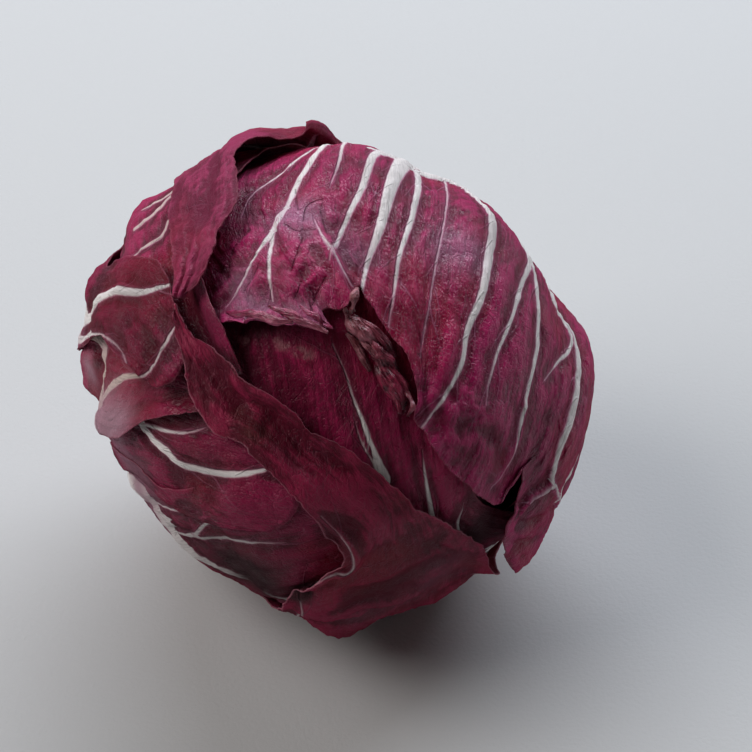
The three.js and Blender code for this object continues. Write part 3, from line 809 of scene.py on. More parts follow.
    # relief, and a gloss that dies away towards the outline
    rim_view = finish.node("ShaderNodeLayerWeight", {}, {"Blend": 0.5}, "Facing").step(0.35, 0.85)
    puff = finish.cloud(blade, 0.22, 3)
    grain = finish.cloud(place, 1500, 3)
    relief = net * -0.15 + mesh * -0.14 + puff * 1.4 + grain * 0.12
    relief = relief + streak * 0.7 + hair * 0.25 + blotch * 0.9
    relief = relief * (1 - rib_mask * 0.65) + vein_mask * 0.35 + rib_mask * 0.4 - crease_mask * 0.6
    finish.feed(
        Base_Color=skin,
        Roughness=blotch * 0.3 + (gloss - 0.15) + rib_mask * 0.12 + rim_view * 0.5,
        Normal=finish.bump(relief, 0.0006),
    )
    return finish


def rib_fan(middle, half, reach, count, width):
    """Ribs that leave a leaf's stalk and spread over its blade, for a leaf seen from its back."""
    lines = [[[middle, BASE_ANGLE, width], [middle, 130, 0.62 * width], [middle, reach + 12, 0.12 * width]]]
    for k in range(count):
        for side in (-1, 1):
            leave = 152 - k * 66 / count
            spread = side * half * (0.95 - 0.25 * k / count)
            size = width * (0.32 - 0.18 * k / count)
            lines.append([
                [middle, leave, size],
                [middle + 0.45 * spread, leave - 16, 0.8 * size],
                [middle + 0.8 * spread, leave - 40, 0.5 * size],
                [middle + spread, max(leave - 66, reach + 14), 0.2 * size],
            ])
    return lines


INNER_LEAVES = 7
RIB_WHITE = (0.86, 0.8, 0.78)
heart_skin = leaf_finish(
    "inner_leaf",
    deep=(0.16, 0.02, 0.06),
    bright=(0.5, 0.24, 0.28),
    warm=(0.4, 0.1, 0.12),
    rib=RIB_WHITE,
    vein=(0.6, 0.35, 0.38),
)
for k in range(INNER_LEAVES):
    middle = -100 + k * GOLDEN_TURN
    leaf = Leaf(
        f"inner_leaf_{k + 1}",
        stem=(middle, 30),
        left=[[middle + 58, 132], [middle + 82, 104], [middle + 86, 80]],
        tip=[[middle + 84, 58], [middle + 98, 28], [middle + 180, 12], [middle - 98, 28], [middle - 84, 58]],
        right=[[middle - 58, 132], [middle - 82, 104], [middle - 86, 80]],
        cells=(44, 44),
        seed=40 + k,
    )
    leaf.ribs(*rib_fan(middle, 62, 20, 3, 6))
    leaf.lay(blade=0.45, stalk=1.2)
    leaf.finish(heart_skin, "heart_leaf")

# ------------------------------------------------------------------------------------------
# The four leaves under the outermost ones. They close the back and the sides, and each has a
# wide white stalk that spreads into a fan of ribs.
# ------------------------------------------------------------------------------------------
wine_skin = leaf_finish(
    "wine_leaf",
    deep=(0.085, 0.0018, 0.015),
    bright=(0.24, 0.0065, 0.05),
    warm=(0.21, 0.003, 0.017),
    rib=RIB_WHITE,
    vein=(0.42, 0.12, 0.2),
)
UNDER_LEAVES = {
    "top": {
        "stem": (100, 30),
        "left": [[140, 132], [146, 104], [142, 80]],
        "tip": [[136, 58], [112, 46], [84, 48], [62, 58]],
        "right": [[58, 132], [50, 104], [54, 78]],
    },
    "right": {
        "stem": (22, 30),
        "left": [[52, 132], [60, 104], [58, 82]],
        "tip": [[48, 62], [24, 50], [-2, 58], [-20, 70]],
        "right": [[-14, 132], [-24, 108], [-26, 88]],
    },
    "low": {
        "stem": (-104, 30),
        "left": [[-62, 132], [-54, 104], [-58, 76]],
        "tip": [[-64, 50], [-88, 34], [-124, 34], [-148, 50]],
        "right": [[-146, 132], [-156, 104], [-156, 74]],
    },
    "back": {
        "stem": (-30, 30),
        "left": [[4, 132], [10, 108], [6, 88]],
        "tip": [[-2, 70], [-24, 56], [-48, 58], [-70, 70]],
        "right": [[-68, 132], [-80, 110], [-78, 90]],
    },
}
for k, (where, outline) in enumerate(UNDER_LEAVES.items()):
    leaf = Leaf(f"under_leaf_{where}", **outline, cells=(80, 80), seed=60 + k)
    leaf.ribs(*rib_fan(outline["stem"][0], 42, 60, 4, 8))
    leaf.branches(every=11.9, seed=k)
    leaf.crumple(0.35)
    # painted shade where it shows in the hollow between the band and the upper leaf
    leaf.spots("painted_shade", [-28, 64, 12, 1.0])
    leaf.lay()
    leaf.finish(wine_skin, "wine_leaf")

# ------------------------------------------------------------------------------------------
# The centre leaf. A smooth dark leaf that comes up from below and closes over the apex. It is
# seen through the gap between the leaves that cover it, with a few thin white ribs.
# ------------------------------------------------------------------------------------------
dark_skin = leaf_finish(
    "dark_leaf",
    deep=(0.13, 0.004, 0.026),
    bright=(0.34, 0.012, 0.075),
    warm=(0.3, 0.007, 0.034),
    rib=RIB_WHITE,
    vein=(0.27, 0.05, 0.1),
)
leaf = Leaf(
    "centre_leaf",
    stem=(-40, 27),
    left=[[-12, 132], [-16, 104], [-20, 74], [-14, 55], [-6, 46], [6, 45], [22, 47], [42, 53]],
    tip=[[60, 58], [80, 58], [100, 56], [114, 52]],
    right=[[-70, 132], [-72, 102], [-76, 66], [-84, 38], [-120, 18], [150, 18], [126, 32]],
    cells=(100, 140),
    seed=71,
)
leaf.ribs(
    [[-40, 163, 8], [-40, 130, 6], [-41, 96, 4], [-42, 66, 3], [-44, 38, 2.4], [-20, 17, 2],
     [10, 21, 1.9], [16, 23, 1.8], [27, 23, 1.6], [40, 24, 1.2], [54, 27, 0.9], [63, 30, 0.6],
     [70, 34, 0.45], [78, 39, 0.3]],
    [[20, 22, 1.2], [31, 22, 0.6], [46, 23, 0.5], [57, 26, 0.2]],
    [[-42, 70, 1.6], [-38, 54, 1.4], [-24, 40, 1.2], [-10, 34, 1.1], [4, 32, 0.9], [15, 32, 0.6],
     [23, 33, 0.2]],
    [[-41, 96, 1.3], [-37, 66, 1], [-30, 52, 0.9], [-17, 43, 0.8], [-7, 42, 0.3]],
)
leaf.branches(every=8.5, reach=16, seed=4)
leaf.crumple(0.25, 12)
leaf.crease([[101, 38.5], [94, 36.5], [84, 36]], 0.8, 0.7)
leaf.spots(
    "scar",
    [99, 38, 1.4, 1], [96, 37, 1.5, 1.1], [92, 36.3, 1.5, 1.1], [88, 36, 1.5, 1.1], [85, 36, 1.4, 1],
    [114, 41.5, 1.5, 1], [112, 40, 1.2, 0.9],
)
# painted shade in the dark hollow at the front, and a painted shadow under the upper leaf's hem
leaf.spots(
    "painted_shade",
    [-17, 51, 6, 1.0], [-26, 55, 7, 1.0], [-4, 50, 5, 0.8], [108, 43, 6, 0.6], [96, 40, 4, 0.5],
)
leaf.wrinkle(0.4, 4, [112, 41, 6], [88, 37, 6])
leaf.lay()
leaf.finish(dark_skin, "dark_leaf")

# ------------------------------------------------------------------------------------------
# The low left leaf. A large leaf round the underside, whose ribs branch in the shape of a Y,
# and whose side is one long white rib.
# ------------------------------------------------------------------------------------------
leaf = Leaf(
    "low_left_leaf",
    stem=(-148, 27),
    left=[[-112, 132], [-108, 102], [-106, 76], [-103, 60]],
    tip=[[-98, 48], [-84, 32], [-60, 24], [-30, 18], [20, 12], [90, 12], [135, 18]],
    right=[[-176, 132], [-174, 102], [-178, 76], [178, 54], [168, 36]],
    cells=(110, 130),
    seed=73,
)
leaf.ribs(
    [[-148, 163, 8], [-150, 130, 5.5], [-152, 96, 4.4], [-156, 70, 5], [-157, 52, 7], [-150, 49, 7],
     [-143, 47.5, 6.4], [-133, 47, 5.6], [-124, 43, 4], [-117, 38, 2.6], [-108, 35, 2.2],
     [-98, 36, 1.8], [-88, 29, 1.2], [-76, 23, 0.6]],
    [[-146, 53, 1.2], [-142, 40, 1.1], [-152, 24, 0.9], [-151, 10, 0.6], [-125, 2, 0.25]],
    [[-142, 40, 1.0], [-139, 24, 0.9], [-127, 15, 0.7], [-100, 10, 0.25]],
    [[-155, 51, 0.8], [-155, 39, 0.7], [-155, 29, 0.6], [-152, 23, 0.5]],
    [[-150, 140, 3], [-134, 104, 2.2], [-124, 78, 1.6], [-112, 62, 1], [-101, 54, 0.8], [-97, 46, 0.6]],
)
leaf.branches(every=8.5, reach=18, seed=5)
leaf.crumple(0.6, 10)
leaf.wrinkle(0.4, 6, [-152, 30, 16], [-130, 40, 14])
leaf.swell(179, 71, 11, -4.5)
# painted shade in three soft patches
leaf.spots("painted_shade", [-128, 34, 13, 0.6], [-112, 24, 12, 0.6], [-104, 34, 8, 0.5])
# painted light along its left silhouette
leaf.spots("sheen_and_bloom", [-161, 54, 6, 0.8], [-150, 54, 5, 0.8], [-140, 54, 4, 0.7], [-165, 44, 6, 0.5])
leaf.lay()
leaf.finish(wine_skin, "wine_leaf")

# ------------------------------------------------------------------------------------------
# The lower left leaf. Its midrib bends round in a bold white curve, and its margin hangs free
# over the leaf below.
# ------------------------------------------------------------------------------------------
leaf = Leaf(
    "lower_left_leaf",
    stem=(-168, 24),
    left=[[-150, 132], [-156, 102], [-165, 74], [-174, 56], [-175, 45], [-173, 38], [-173, 33]],
    tip=[[176, 20], [-172, 16], [-155, 14], [-120, 5], [60, 6], [112, 16], [128, 30]],
    right=[[178, 132], [178, 104], [175, 80], [166, 62], [155, 50], [142, 40]],
    cells=(100, 130),
    ragged=0.6,
    seed=74,
)
leaf.ribs(
    [[-168, 163, 7.5], [-171, 130, 5], [-176, 96, 3.2], [176, 66, 2.4], [170, 50, 1.8], [168, 43, 1.6],
     [169, 38, 1.7], [169, 32, 1.8], [170, 27, 1.7], [166, 22, 1.6], [158, 17, 1.5], [143, 13, 1.3],
     [119, 11, 0.9]],
    [[169, 44, 0.7], [166, 40, 0.8], [162, 35, 0.8], [154, 29, 0.6], [144, 26, 0.3]],
)
leaf.branches(every=8.5, reach=14, seed=6)
leaf.crumple(0.6, 9)
leaf.wrinkle(0.4, 6, [170, 44, 14], [-176, 30, 14])
leaf.swell(179, 71, 11, -4.5)
# painted light along its left silhouette
leaf.spots("sheen_and_bloom", [-174, 50, 5, 0.8], [-172, 42, 4, 0.5], [178, 52, 5, 0.5])
# painted shade
leaf.spots("painted_shade", [160, 22, 8, 0.3])
leaf.lift("left", 0.3, 4, start=0.55, wave=0.5)
leaf.lay()
leaf.finish(wine_skin, "wine_leaf")

# ------------------------------------------------------------------------------------------
# The middle left leaf. A pale mauve side with a broad cream rib, turning deep red to the right,
# where it slips under the band.
# ------------------------------------------------------------------------------------------
mauve_skin = leaf_finish(
    "mauve_leaf",
    deep=(0.12, 0.004, 0.022),
    bright=(0.32, 0.011, 0.07),
    warm=(0.28, 0.007, 0.03),
    rib=(0.68, 0.54, 0.48),
    vein=(0.5, 0.2, 0.26),
    gloss=0.32,
    shine=0.26,
    sheen_colour=(0.42, 0.24, 0.3),
)
leaf = Leaf(
    "middle_left_leaf",
    stem=(-179, 23),
    left=[[-166, 132], [-173, 102], [-179, 76], [179, 56], [175, 46], [162, 39], [152, 34]],
    tip=[[139, 29], [132, 31], [128, 37]],
    right=[[166, 132], [166, 106], [160, 86], [152, 70], [143, 56], [134, 46]],
    cells=(100, 140),
    ragged=0.6,
    seed=75,
)
leaf.ribs(
    [[-179, 163, 7], [177, 130, 5], [174, 100, 4], [170, 84, 3], [165, 75, 2.8], [163, 68, 2.8],
     [166, 65, 2.7], [170, 64, 2.5], [172.5, 62, 2.3], [175, 60, 2.2]],
    [[175, 60, 2.2], [172, 57, 2.2], [169, 57, 2.1], [164, 55, 1.9], [159, 52, 1.5], [154, 48, 1.0],
     [151, 46, 0.5]],
    [[175, 60, 1.4], [178, 54, 1.0], [178, 46, 0.5]],
)
leaf.branches(every=6.8, reach=14, seed=7)
leaf.crumple(0.6, 9)
leaf.wrinkle(0.4, 5, [165, 58, 12], [152, 52, 10])
leaf.swell(179, 67, 9, -4.5)
leaf.swell(170, 80, 8, 2)
leaf.crease([[168, 74], [168, 68], [168, 62]], 1.6, -1.4)
# painted sheen over the pale mauve side, partly a real waxy bloom
leaf.spots(
    "sheen_and_bloom",
    [174, 50, 7, 0.9], [178, 58, 6, 0.8], [166, 45, 4, 0.3], [174, 74, 3.5, 0.7], [163, 68, 3, 0.5],
)
# painted shade in the groove beside the cream rib and in two patches
leaf.spots("painted_shade", [169, 70, 2.4, 0.8], [160, 62, 4, 0.4], [150, 45, 5, 0.6])
leaf.lift("left", 0.8, 4, start=0.55, wave=0.5)
leaf.lay()
leaf.finish(mauve_skin, "wine_leaf")

# ------------------------------------------------------------------------------------------
# The upper leaf. The widest one: it covers the top and right side from the stem to its torn
# margin near the apex. A dozen white ribs run over it, and it has split in two places.
# ------------------------------------------------------------------------------------------
bright_skin = leaf_finish(
    "upper_leaf",
    deep=(0.15, 0.003, 0.032),
    bright=(0.42, 0.012, 0.11),
    warm=(0.35, 0.005, 0.042),
    rib=RIB_WHITE,
    vein=(0.55, 0.16, 0.3),
    gloss=0.27,
    shine=0.28,
    mottle=0.3,
    sheen_colour=(0.5, 0.26, 0.42),
)
leaf = Leaf(
    "upper_leaf",
    stem=(68, 38),
    left=[[118, 132], [127, 102], [127, 74], [121, 56]],
    tip=[
        [117.5, 44], [110, 42], [103, 41], [96, 41], [90, 40.5], [84, 41], [79, 41], [81, 42],
        [85, 43.5], [83, 45], [79, 46], [77, 47], [76, 53], [71, 50], [65, 47], [59, 45], [53, 43],
        [48, 41], [44, 38], [41, 35.5], [31, 34.5], [21, 35], [12, 37], [3, 41], [-3, 45], [-6, 48.5],
        [-3, 52], [1, 57], [-2, 56.5], [-6, 55], [-12, 55], [-15, 53], [-22, 55], [-31, 62], [-37, 70],
    ],
    right=[[8, 136], [-10, 112], [-24, 92], [-33, 80]],
    cells=(240, 200),
    ragged=0.8,
    seed=76,
)
leaf.ribs(
    # the midrib, and those that leave it to its left
    [[70, 163, 10], [74, 130, 8], [77, 114, 5.5], [77, 104, 4], [77, 86, 2.9], [76, 71, 2.0],
     [76, 61, 1.2], [75, 53, 0.7]],
    [[74, 134, 4], [88, 124, 2.4], [95, 114, 1.9], [96, 97, 1.8], [98, 82, 1.5], [99, 72, 1.2],
     [102, 63, 1.0], [106, 56, 0.8], [111, 50, 0.6], [114, 48, 0.3]],
    [[99, 72, 0.8], [101, 69, 0.8], [101, 62, 0.9], [100, 52, 0.8], [99, 47, 0.5]],
    [[92, 119, 1], [98, 101, 0.8], [102, 92, 0.8], [107, 84, 0.6], [110, 78, 0.4], [111, 73, 0.2]],
    [[77, 122, 1.5], [86, 116, 1.2], [91, 108, 1.0], [90, 89, 0.7], [90, 79, 0.3]],
    [[77, 114, 2.2], [80, 110, 1.9], [83, 101, 1.9], [83, 80, 1.5], [84, 72, 1.1], [85, 61, 0.7],
     [85, 57, 0.4]],
    [[85, 103, 1.4], [79, 108, 3.6], [73, 109, 4.2], [67, 112, 3.6], [61, 115, 3.4], [56, 114, 1.6]],
    [[46, 103, 1], [42, 107, 2.8], [37, 103, 2.2]],
    [[92, 69, 0.3], [87, 61, 0.7], [85, 59, 0.7], [78, 53, 0.4]],
    # to its right
    [[76, 112, 2.2], [73, 107, 1.9], [70, 82, 1.5], [69, 65, 1.0], [67, 57, 0.7], [64, 48, 0.3]],
    [[74, 122, 1.4], [66, 116, 0.8], [64, 98, 0.6], [62, 82, 0.5], [59, 66, 0.5], [56, 56, 0.4],
     [51, 46, 0.2]],
    [[72, 140, 5], [66, 124, 3.6], [62, 113, 2.9], [55, 115, 0.4]],
    [[66, 124, 3.6], [59, 112, 2.8], [52, 98, 2.4], [49, 80, 2.2], [46, 69, 1.9], [44, 59, 1.5],
     [40, 52, 1.2], [37, 44, 0.9], [35, 37, 0.6], [34, 34, 0.4]],
    [[69, 148, 5], [54, 130, 3], [42, 110, 2.2], [38, 98, 1.8], [38, 85, 1.5], [36, 71, 1.1],
     [34, 62, 0.8], [31, 56, 0.6], [26, 51, 0.3]],
    [[42, 110, 2], [37, 98, 1.8], [33, 88, 1.7], [26, 76, 1.5], [21, 67, 1.2], [14, 59, 0.9],
     [6, 54, 0.5], [0, 47, 0.3]],
    [[68, 154, 5], [46, 142, 3.6], [30, 118, 2.8], [24, 98, 2.5], [16, 96, 1.6], [9, 85, 2.2],
     [5, 79, 2.1], [-1, 72, 1.9], [-6, 70, 1.6], [-9, 70, 1.1], [-11, 70, 0.8]],
    [[24, 98, 1.4], [16, 93, 1.2], [17, 80, 0.8], [17, 73, 0.4]],
    # the pale folds of its lowest lobe, and the rib that runs down to it
    [[-10, 70, 0.8], [-11, 66, 0.6], [-11, 62, 0.5], [-14, 60, 0.3]],
    [[-10, 70, 0.8], [-14, 73, 0.7], [-19, 78, 0.6], [-23, 81, 0.5]],
    [[46, 142, 3.4], [20, 134, 2.8], [2, 112, 2], [-10, 92, 1.5], [-18, 76, 1]],
)
leaf.branches(every=7.65, reach=16, seed=8)
leaf.crease([[91, 69], [85, 60], [79, 55], [75, 53]], 1.5, 0.5, step=1.6)
leaf.crease([[88, 66], [86, 61], [80, 52], [72, 46], [62, 43], [55, 40]], 1.3, 0.9, step=1.0)
leaf.swell(-37, 71, 9, 3.6)
# the folds of its lowest lobe, and those round the split at the front
leaf.crease([[-14, 58], [-11, 62], [-11, 66], [-10, 70]], 1.0, 1.2, step=0.9, fade=0.05)
leaf.crease([[-10, 70], [-14, 73], [-19, 78], [-23, 81]], 1.1, 1.0, fade=0.05)
leaf.crease([[18, 63], [10, 57], [4, 51], [0, 47]], 1.3, 0.9, fade=0.1)
leaf.crease([[-22, 80], [-28, 77], [-34, 73]], 1.3, 0.9)
leaf.crease([[-30, 63], [-33, 68], [-33, 75]], 1.1, 0.7)
leaf.crease([[-18, 57], [-20, 64], [-21, 72]], 1.6, -1.3)
leaf.crease([[-26, 60], [-27, 67], [-28, 74]], 1.2, -0.9)
leaf.crease([[38, 37], [41, 44], [45, 52], [50, 60]], 1.8, 0.8, step=0.4)
leaf.crease([[22, 38], [30, 42], [38, 43]], 1.6, 0.7)
leaf.crease([[30, 37], [22, 46], [12, 50], [4, 49]], 2.2, -0.8)
leaf.crumple(0.5, 13)
leaf.fine_creases(
    [[98, 78], [97, 74], [96, 71]],
    [[91, 74], [94, 72], [94, 67], [93, 60], [94, 53]],
    [[103, 56], [105, 53], [108, 50]],
    [[105, 58], [106, 57], [107, 56]],
    [[91, 72], [88, 65], [84, 59]],
    [[91, 50], [91.5, 48], [92, 47]],
    [[85, 52], [86, 49], [87, 46]],
    [[98, 66], [95, 64], [91, 65]],
    [[108, 66], [112, 60], [113, 55]],
)
leaf.wrinkle(0.55, 7, [100, 56, 12], [92, 50, 10], [108, 50, 8], [88, 62, 8])
leaf.wrinkle(0.35, 4, [-22, 68, 14], [30, 44, 9])
# painted sheen where the window is reflected on the top, and painted light along the hem beside the flap's
# shadow
leaf.spots(
    "sheen_and_bloom",
    [95, 69, 6, 0.5], [56, 77, 6.5, 0.4], [79, 63, 5, 0.25], [108, 47, 4, 0.35], [101, 44, 3, 0.3],
    [92, 44, 3, 0.3], [84, 43, 3, 0.3], [109, 54, 4, 0.25],
)
leaf.lift("tip", 1.6, 3.5, start=0.0, end=0.2, wave=0.6)
# painted shade in patches, among them beside the flap at its left margin and at its lowest lobe
leaf.spots(
    "painted_shade",
    [70, 62, 5, 0.3], [0, 60, 8, 0.3], [-16, 66, 5, 0.5], [60, 50, 4, 0.3], [88, 88, 6, 0.3],
    [48, 90, 8, 0.35], [121, 58, 4, 0.3], [120, 50, 3, 0.3], [122, 68, 5, 0.2],
)
leaf.roll("tip", 0.8, 150, start=0.01, end=0.12, wave=0.9)
leaf.fray(1.5, 3.5, end=0.2)
leaf.lift("tip", 0.8, 4, start=0.3, end=0.9, wave=0.6)
leaf.fray(0.8, 3, size=5, start=0.3, end=0.95)
leaf.lay(blade=0.6)
leaf.finish(bright_skin, "wine_leaf")

# ------------------------------------------------------------------------------------------
# The high left leaf. It shows on both sides of the flap that lies over it, with a thin raised
# edge at the right.
# ------------------------------------------------------------------------------------------
high_skin = leaf_finish(
    "high_left_leaf",
    deep=(0.12, 0.003, 0.022),
    bright=(0.36, 0.013, 0.085),
    warm=(0.3, 0.005, 0.03),
    rib=(0.66, 0.5, 0.48),
    vein=(0.5, 0.14, 0.25),
    shine=0.3,
)
leaf = Leaf(
    "high_left_leaf",
    stem=(142, 24),
    left=[[170, 132], [170, 106], [160, 86], [152, 70]],
    tip=[[146, 54], [138, 42], [126, 34], [113, 32]],
    right=[[108, 132], [111, 102], [117, 76], [121, 62], [119, 54], [117, 48], [114, 40]],
    cells=(90, 120),
    seed=77,
)
leaf.ribs(
    [[142, 163, 7], [138, 130, 5], [132, 110, 3], [130, 99, 2], [133, 96, 1.8], [137, 94, 1.5],
     [140, 93, 1.0]],
    [[132, 110, 2], [132, 96, 1.4], [136, 88, 1.6], [141, 86, 1.2]],
    [[132, 110, 2], [130, 88, 1.2], [133, 77, 1.1], [137, 76, 1.0], [141, 75, 0.6]],
    [[142, 140, 3], [152, 110, 2.2], [158, 90, 1.4]],
)
leaf.branches(every=6.8, reach=14, seed=9)
leaf.crumple(0.4, 9)
leaf.lift("right", 0.5, 2.5, start=0.75, wave=0.4)
# painted shade on the strip beside the flap
leaf.spots("painted_shade", [120, 57, 6, 0.3], [117, 46, 6, 0.5])
leaf.lay()
leaf.finish(high_skin, "wine_leaf")

# ------------------------------------------------------------------------------------------
# The left tongue. A narrow leaf with a thick white rib near its upper margin. Its lower margin
# rolls up off the leaf beneath.
# ------------------------------------------------------------------------------------------
leaf = Leaf(
    "left_tongue_leaf",
    stem=(163, 23),
    left=[
        [-172, 132], [-177, 104], [180, 93], [176, 85], [171, 78], [166, 72], [161, 68], [157, 64],
        [154, 58], [150, 49],
    ],
    tip=[[147, 42], [144, 38], [136, 37], [130, 40], [128, 46]],
    right=[[148, 132], [155, 106], [154, 87], [145, 77], [137, 70], [130, 63]],
    cells=(100, 130),
    ragged=0.6,
    seed=78,
)
leaf.ribs(
    [[163, 163, 7], [166, 130, 5], [169, 104, 3.6], [169, 88, 3], [165, 81, 2.6], [155, 74, 2.3],
     [146, 67, 1.9], [136, 59, 1.5], [129, 57, 0.8]],
    [[171, 90, 2.4], [172, 84, 2], [168, 77, 1.6], [163, 72, 1]],
    [[128, 48, 0.4], [131, 47, 0.6], [134, 45, 0.7], [138, 44, 0.7], [141, 43, 0.7], [148, 43, 0.6],
     [151, 45, 0.3]],
    [[163, 72, 0.9], [156, 63, 0.6], [151, 55, 0.5], [149, 48, 0.4]],
)
leaf.branches(every=6.8, reach=13, seed=10)
leaf.crumple(0.6, 9)
leaf.wrinkle(0.4, 5, [140, 50, 12], [150, 62, 10])
leaf.crease([[143, 55], [146, 47], [147, 42]], 2.0, 0.8)
leaf.swell(168, 93, 8, 2)
# painted light on the lip of its lower margin
leaf.spots("sheen_and_bloom", [174, 80, 5, 0.5], [170, 72, 3, 0.4])
# painted shade in the hollow under the lip and in patches near its tip
leaf.spots(
    "painted_shade",
    [140, 47, 4, 0.5], [136, 60, 7, 0.3], [148, 56, 7, 0.4], [166, 68, 1.6, 0.7], [161, 65, 1.6, 0.7],
)
leaf.lift("left", 0.5, 3, start=0.72, wave=0.2)
leaf.roll("left", 0.6, 60, start=0.75, end=0.98)
leaf.lay()
leaf.finish(wine_skin, "wine_leaf")

# ------------------------------------------------------------------------------------------
# The band. A long dark leaf that crosses the front like a sash, from the underside up to a
# narrow tip at the left. It is old and dull, with a nibbled margin that catches the light.
# ------------------------------------------------------------------------------------------
band_skin = leaf_finish(
    "band_leaf",
    deep=(0.11, 0.0045, 0.019),
    bright=(0.31, 0.016, 0.062),
    warm=(0.26, 0.012, 0.03),
    rib=RIB_WHITE,
    vein=(0.28, 0.07, 0.12),
    gloss=0.44,
    # a paler rim: painted highlight along its nibbled margin
    rim=(0.42, 0.15, 0.2),
)
leaf = Leaf(
    "band_leaf",
    stem=(-62, 33),
    left=[
        [-36, 132], [-42, 102], [-44, 82], [-38, 66], [-32, 57], [-25, 52], [-20, 46], [-11, 37],
        [-1, 29], [12, 25], [30, 22], [46, 20.5], [63, 20], [77, 20.5], [91, 24], [101, 27], [111, 31],
        [117, 37], [123, 42],
    ],
    tip=[[126, 47], [127, 51], [129, 46]],
    right=[
        [-108, 132], [-117, 102], [-112, 76], [-101, 50], [-92, 26], [-78, 20], [-60, 17], [-46, 17],
        [-33, 13], [-18, 9], [40, 6], [93, 9], [113, 14], [122, 19], [131, 22], [134, 27], [133, 33],
        [130, 40],
    ],
    cells=(140, 260),
    ragged=1.0,
    seed=79,
)
leaf.ribs(
    [[-62, 163, 9], [-62, 130, 6.5], [-62, 100, 4], [-62, 80, 2], [-64, 66, 0.6]],
    [[-62, 140, 5], [-84, 110, 3.4], [-96, 82, 2.2], [-96, 60, 1.4], [-94, 48, 0.8], [-88, 34, 0.5],
     [-83, 21, 0.4], [-70, 18, 0.4], [-56, 18, 0.5], [-48, 20, 0.6], [-38, 18, 0.5], [-21, 13, 0.4],
     [9, 8, 0.2]],
    [[-62, 136, 4], [-48, 108, 2.8], [-48, 84, 1.6], [-44, 66, 0.5]],
    [[-62, 118, 3], [-76, 90, 2], [-80, 70, 0.6]],
)
leaf.branches(every=8.5, reach=20, seed=11, width=0.35)
leaf.crease([[9, 8], [-21, 14], [-37, 19], [-48, 21], [-56, 19], [-70, 19], [-83, 22]], 1.1, 1.0, step=0.7)
leaf.crease([[-80, 39], [-68, 39], [-59, 46], [-49, 51]], 1.6, 0.9, step=0.5)
leaf.crease([[-18, 37], [-24, 43], [-29, 53]], 1.4, 0.6)
leaf.crease([[-70, 30], [-56, 33], [-40, 40], [-30, 47]], 1.8, -0.6)
leaf.crease([[130, 42], [128, 36], [128, 30], [128, 27]], 1.0, -0.8)
leaf.swell(-83, 57, 8, 3.4)
leaf.crease([[127, 51], [129, 43], [130, 37], [133, 30]], 1.0, -0.7)
leaf.crease([[117, 35], [112, 26], [97, 17], [61, 11]], 1.0, 0.5)
leaf.crease([[43, 15], [-6, 20], [-35, 31]], 1.6, 0.6)
leaf.crease([[-96, 40], [-84, 48], [-70, 56], [-56, 60]], 1.4, 0.7)
leaf.crease([[-100, 52], [-88, 56], [-76, 64], [-64, 70]], 1.6, 0.7)
leaf.crease([[-96, 26], [-90, 24], [-84, 23], [-78, 24]], 1.4, -1.8, fade=0.15)
leaf.crease([[-92, 32], [-84, 36], [-74, 42], [-66, 44]], 1.3, 1.1)
leaf.crease([[-86, 46], [-76, 50], [-66, 52], [-58, 50]], 1.3, 1.1)
leaf.crease([[-82, 40], [-72, 46], [-62, 48]], 1.2, -1.0)
leaf.crease([[-64, 24], [-52, 28], [-38, 34], [-26, 42]], 1.5, 0.6)
leaf.wrinkle(0.45, 6, [-80, 50, 16], [-60, 58, 14], [-90, 62, 12])
leaf.crumple(0.55, 10)
leaf.spots("bruise", [113, 20, 2, 0.6], [108, 18, 1.6, 0.5], [118, 24, 1.5, 0.5])
# painted sheen in three soft patches
leaf.spots("sheen_and_bloom", [-40, 48, 9, 0.25], [-72, 46, 6, 0.25], [-58, 52, 7, 0.25])
# painted shade over its lower part and in one deep groove
leaf.spots(
    "painted_shade",
    [-74, 62, 12, 0.4], [-90, 24, 3, 1.0], [-84, 24, 3, 1.0], [-54, 36, 10, 0.5], [-30, 38, 8, 0.4],
)
leaf.lift("left", 0.8, 2.5, start=0.45, wave=0.6)
leaf.roll("left", 0.8, 50, start=0.45, wave=0.6)
leaf.lay(blade=0.6)
leaf.finish(band_skin, "dark_leaf")

# ------------------------------------------------------------------------------------------
# The flap. The outermost leaf, wilted to a dull mauve, comes over the top from the stem and
# ends in a point. Near the top its right margin rolls back on itself, off the leaf beneath.
# ------------------------------------------------------------------------------------------
flap_skin = leaf_finish(
    "wilted_leaf",
    deep=(0.16, 0.011, 0.042),
    bright=(0.34, 0.034, 0.105),
    warm=(0.28, 0.017, 0.048),
    rib=RIB_WHITE,
    vein=(0.36, 0.11, 0.19),
    gloss=0.44,
    mottle=0.6,
)
leaf = Leaf(
    "flap_leaf",
    stem=(117, 22),
    left=[[140, 134], [135, 112], [131, 92], [129, 78], [127, 68], [126, 60]],
    tip=[[127, 53], [124, 50.5], [121, 51]],
    right=[
        [97, 140], [97, 124], [98, 112], [101, 105], [106, 100], [110, 96], [113, 91], [112, 85],
        [110, 79], [109, 69], [112, 63], [114, 58], [117, 53],
    ],
    cells=(110, 160),
    ragged=1.0,
    seed=80,
)
leaf.ribs(
    [[117, 163, 7], [117, 138, 4.4], [118, 122, 1.8], [119, 108, 0.3]],
    [[117, 138, 2.6], [108, 128, 1.4], [102, 118, 0.3]],
)
leaf.branches(every=8.5, reach=14, seed=12, width=0.3)
leaf.crumple(0.4, 8)
leaf.lift("right", -0.6, 6, start=0.3, end=0.52)
leaf.roll("right", 1.2, 190, start=0.22, end=0.46, wave=0.35)
leaf.wrinkle(0.35, 4, [118, 60, 14], [120, 80, 12])
leaf.lay(blade=0.6)
leaf.finish(flap_skin, "wilted_leaf")

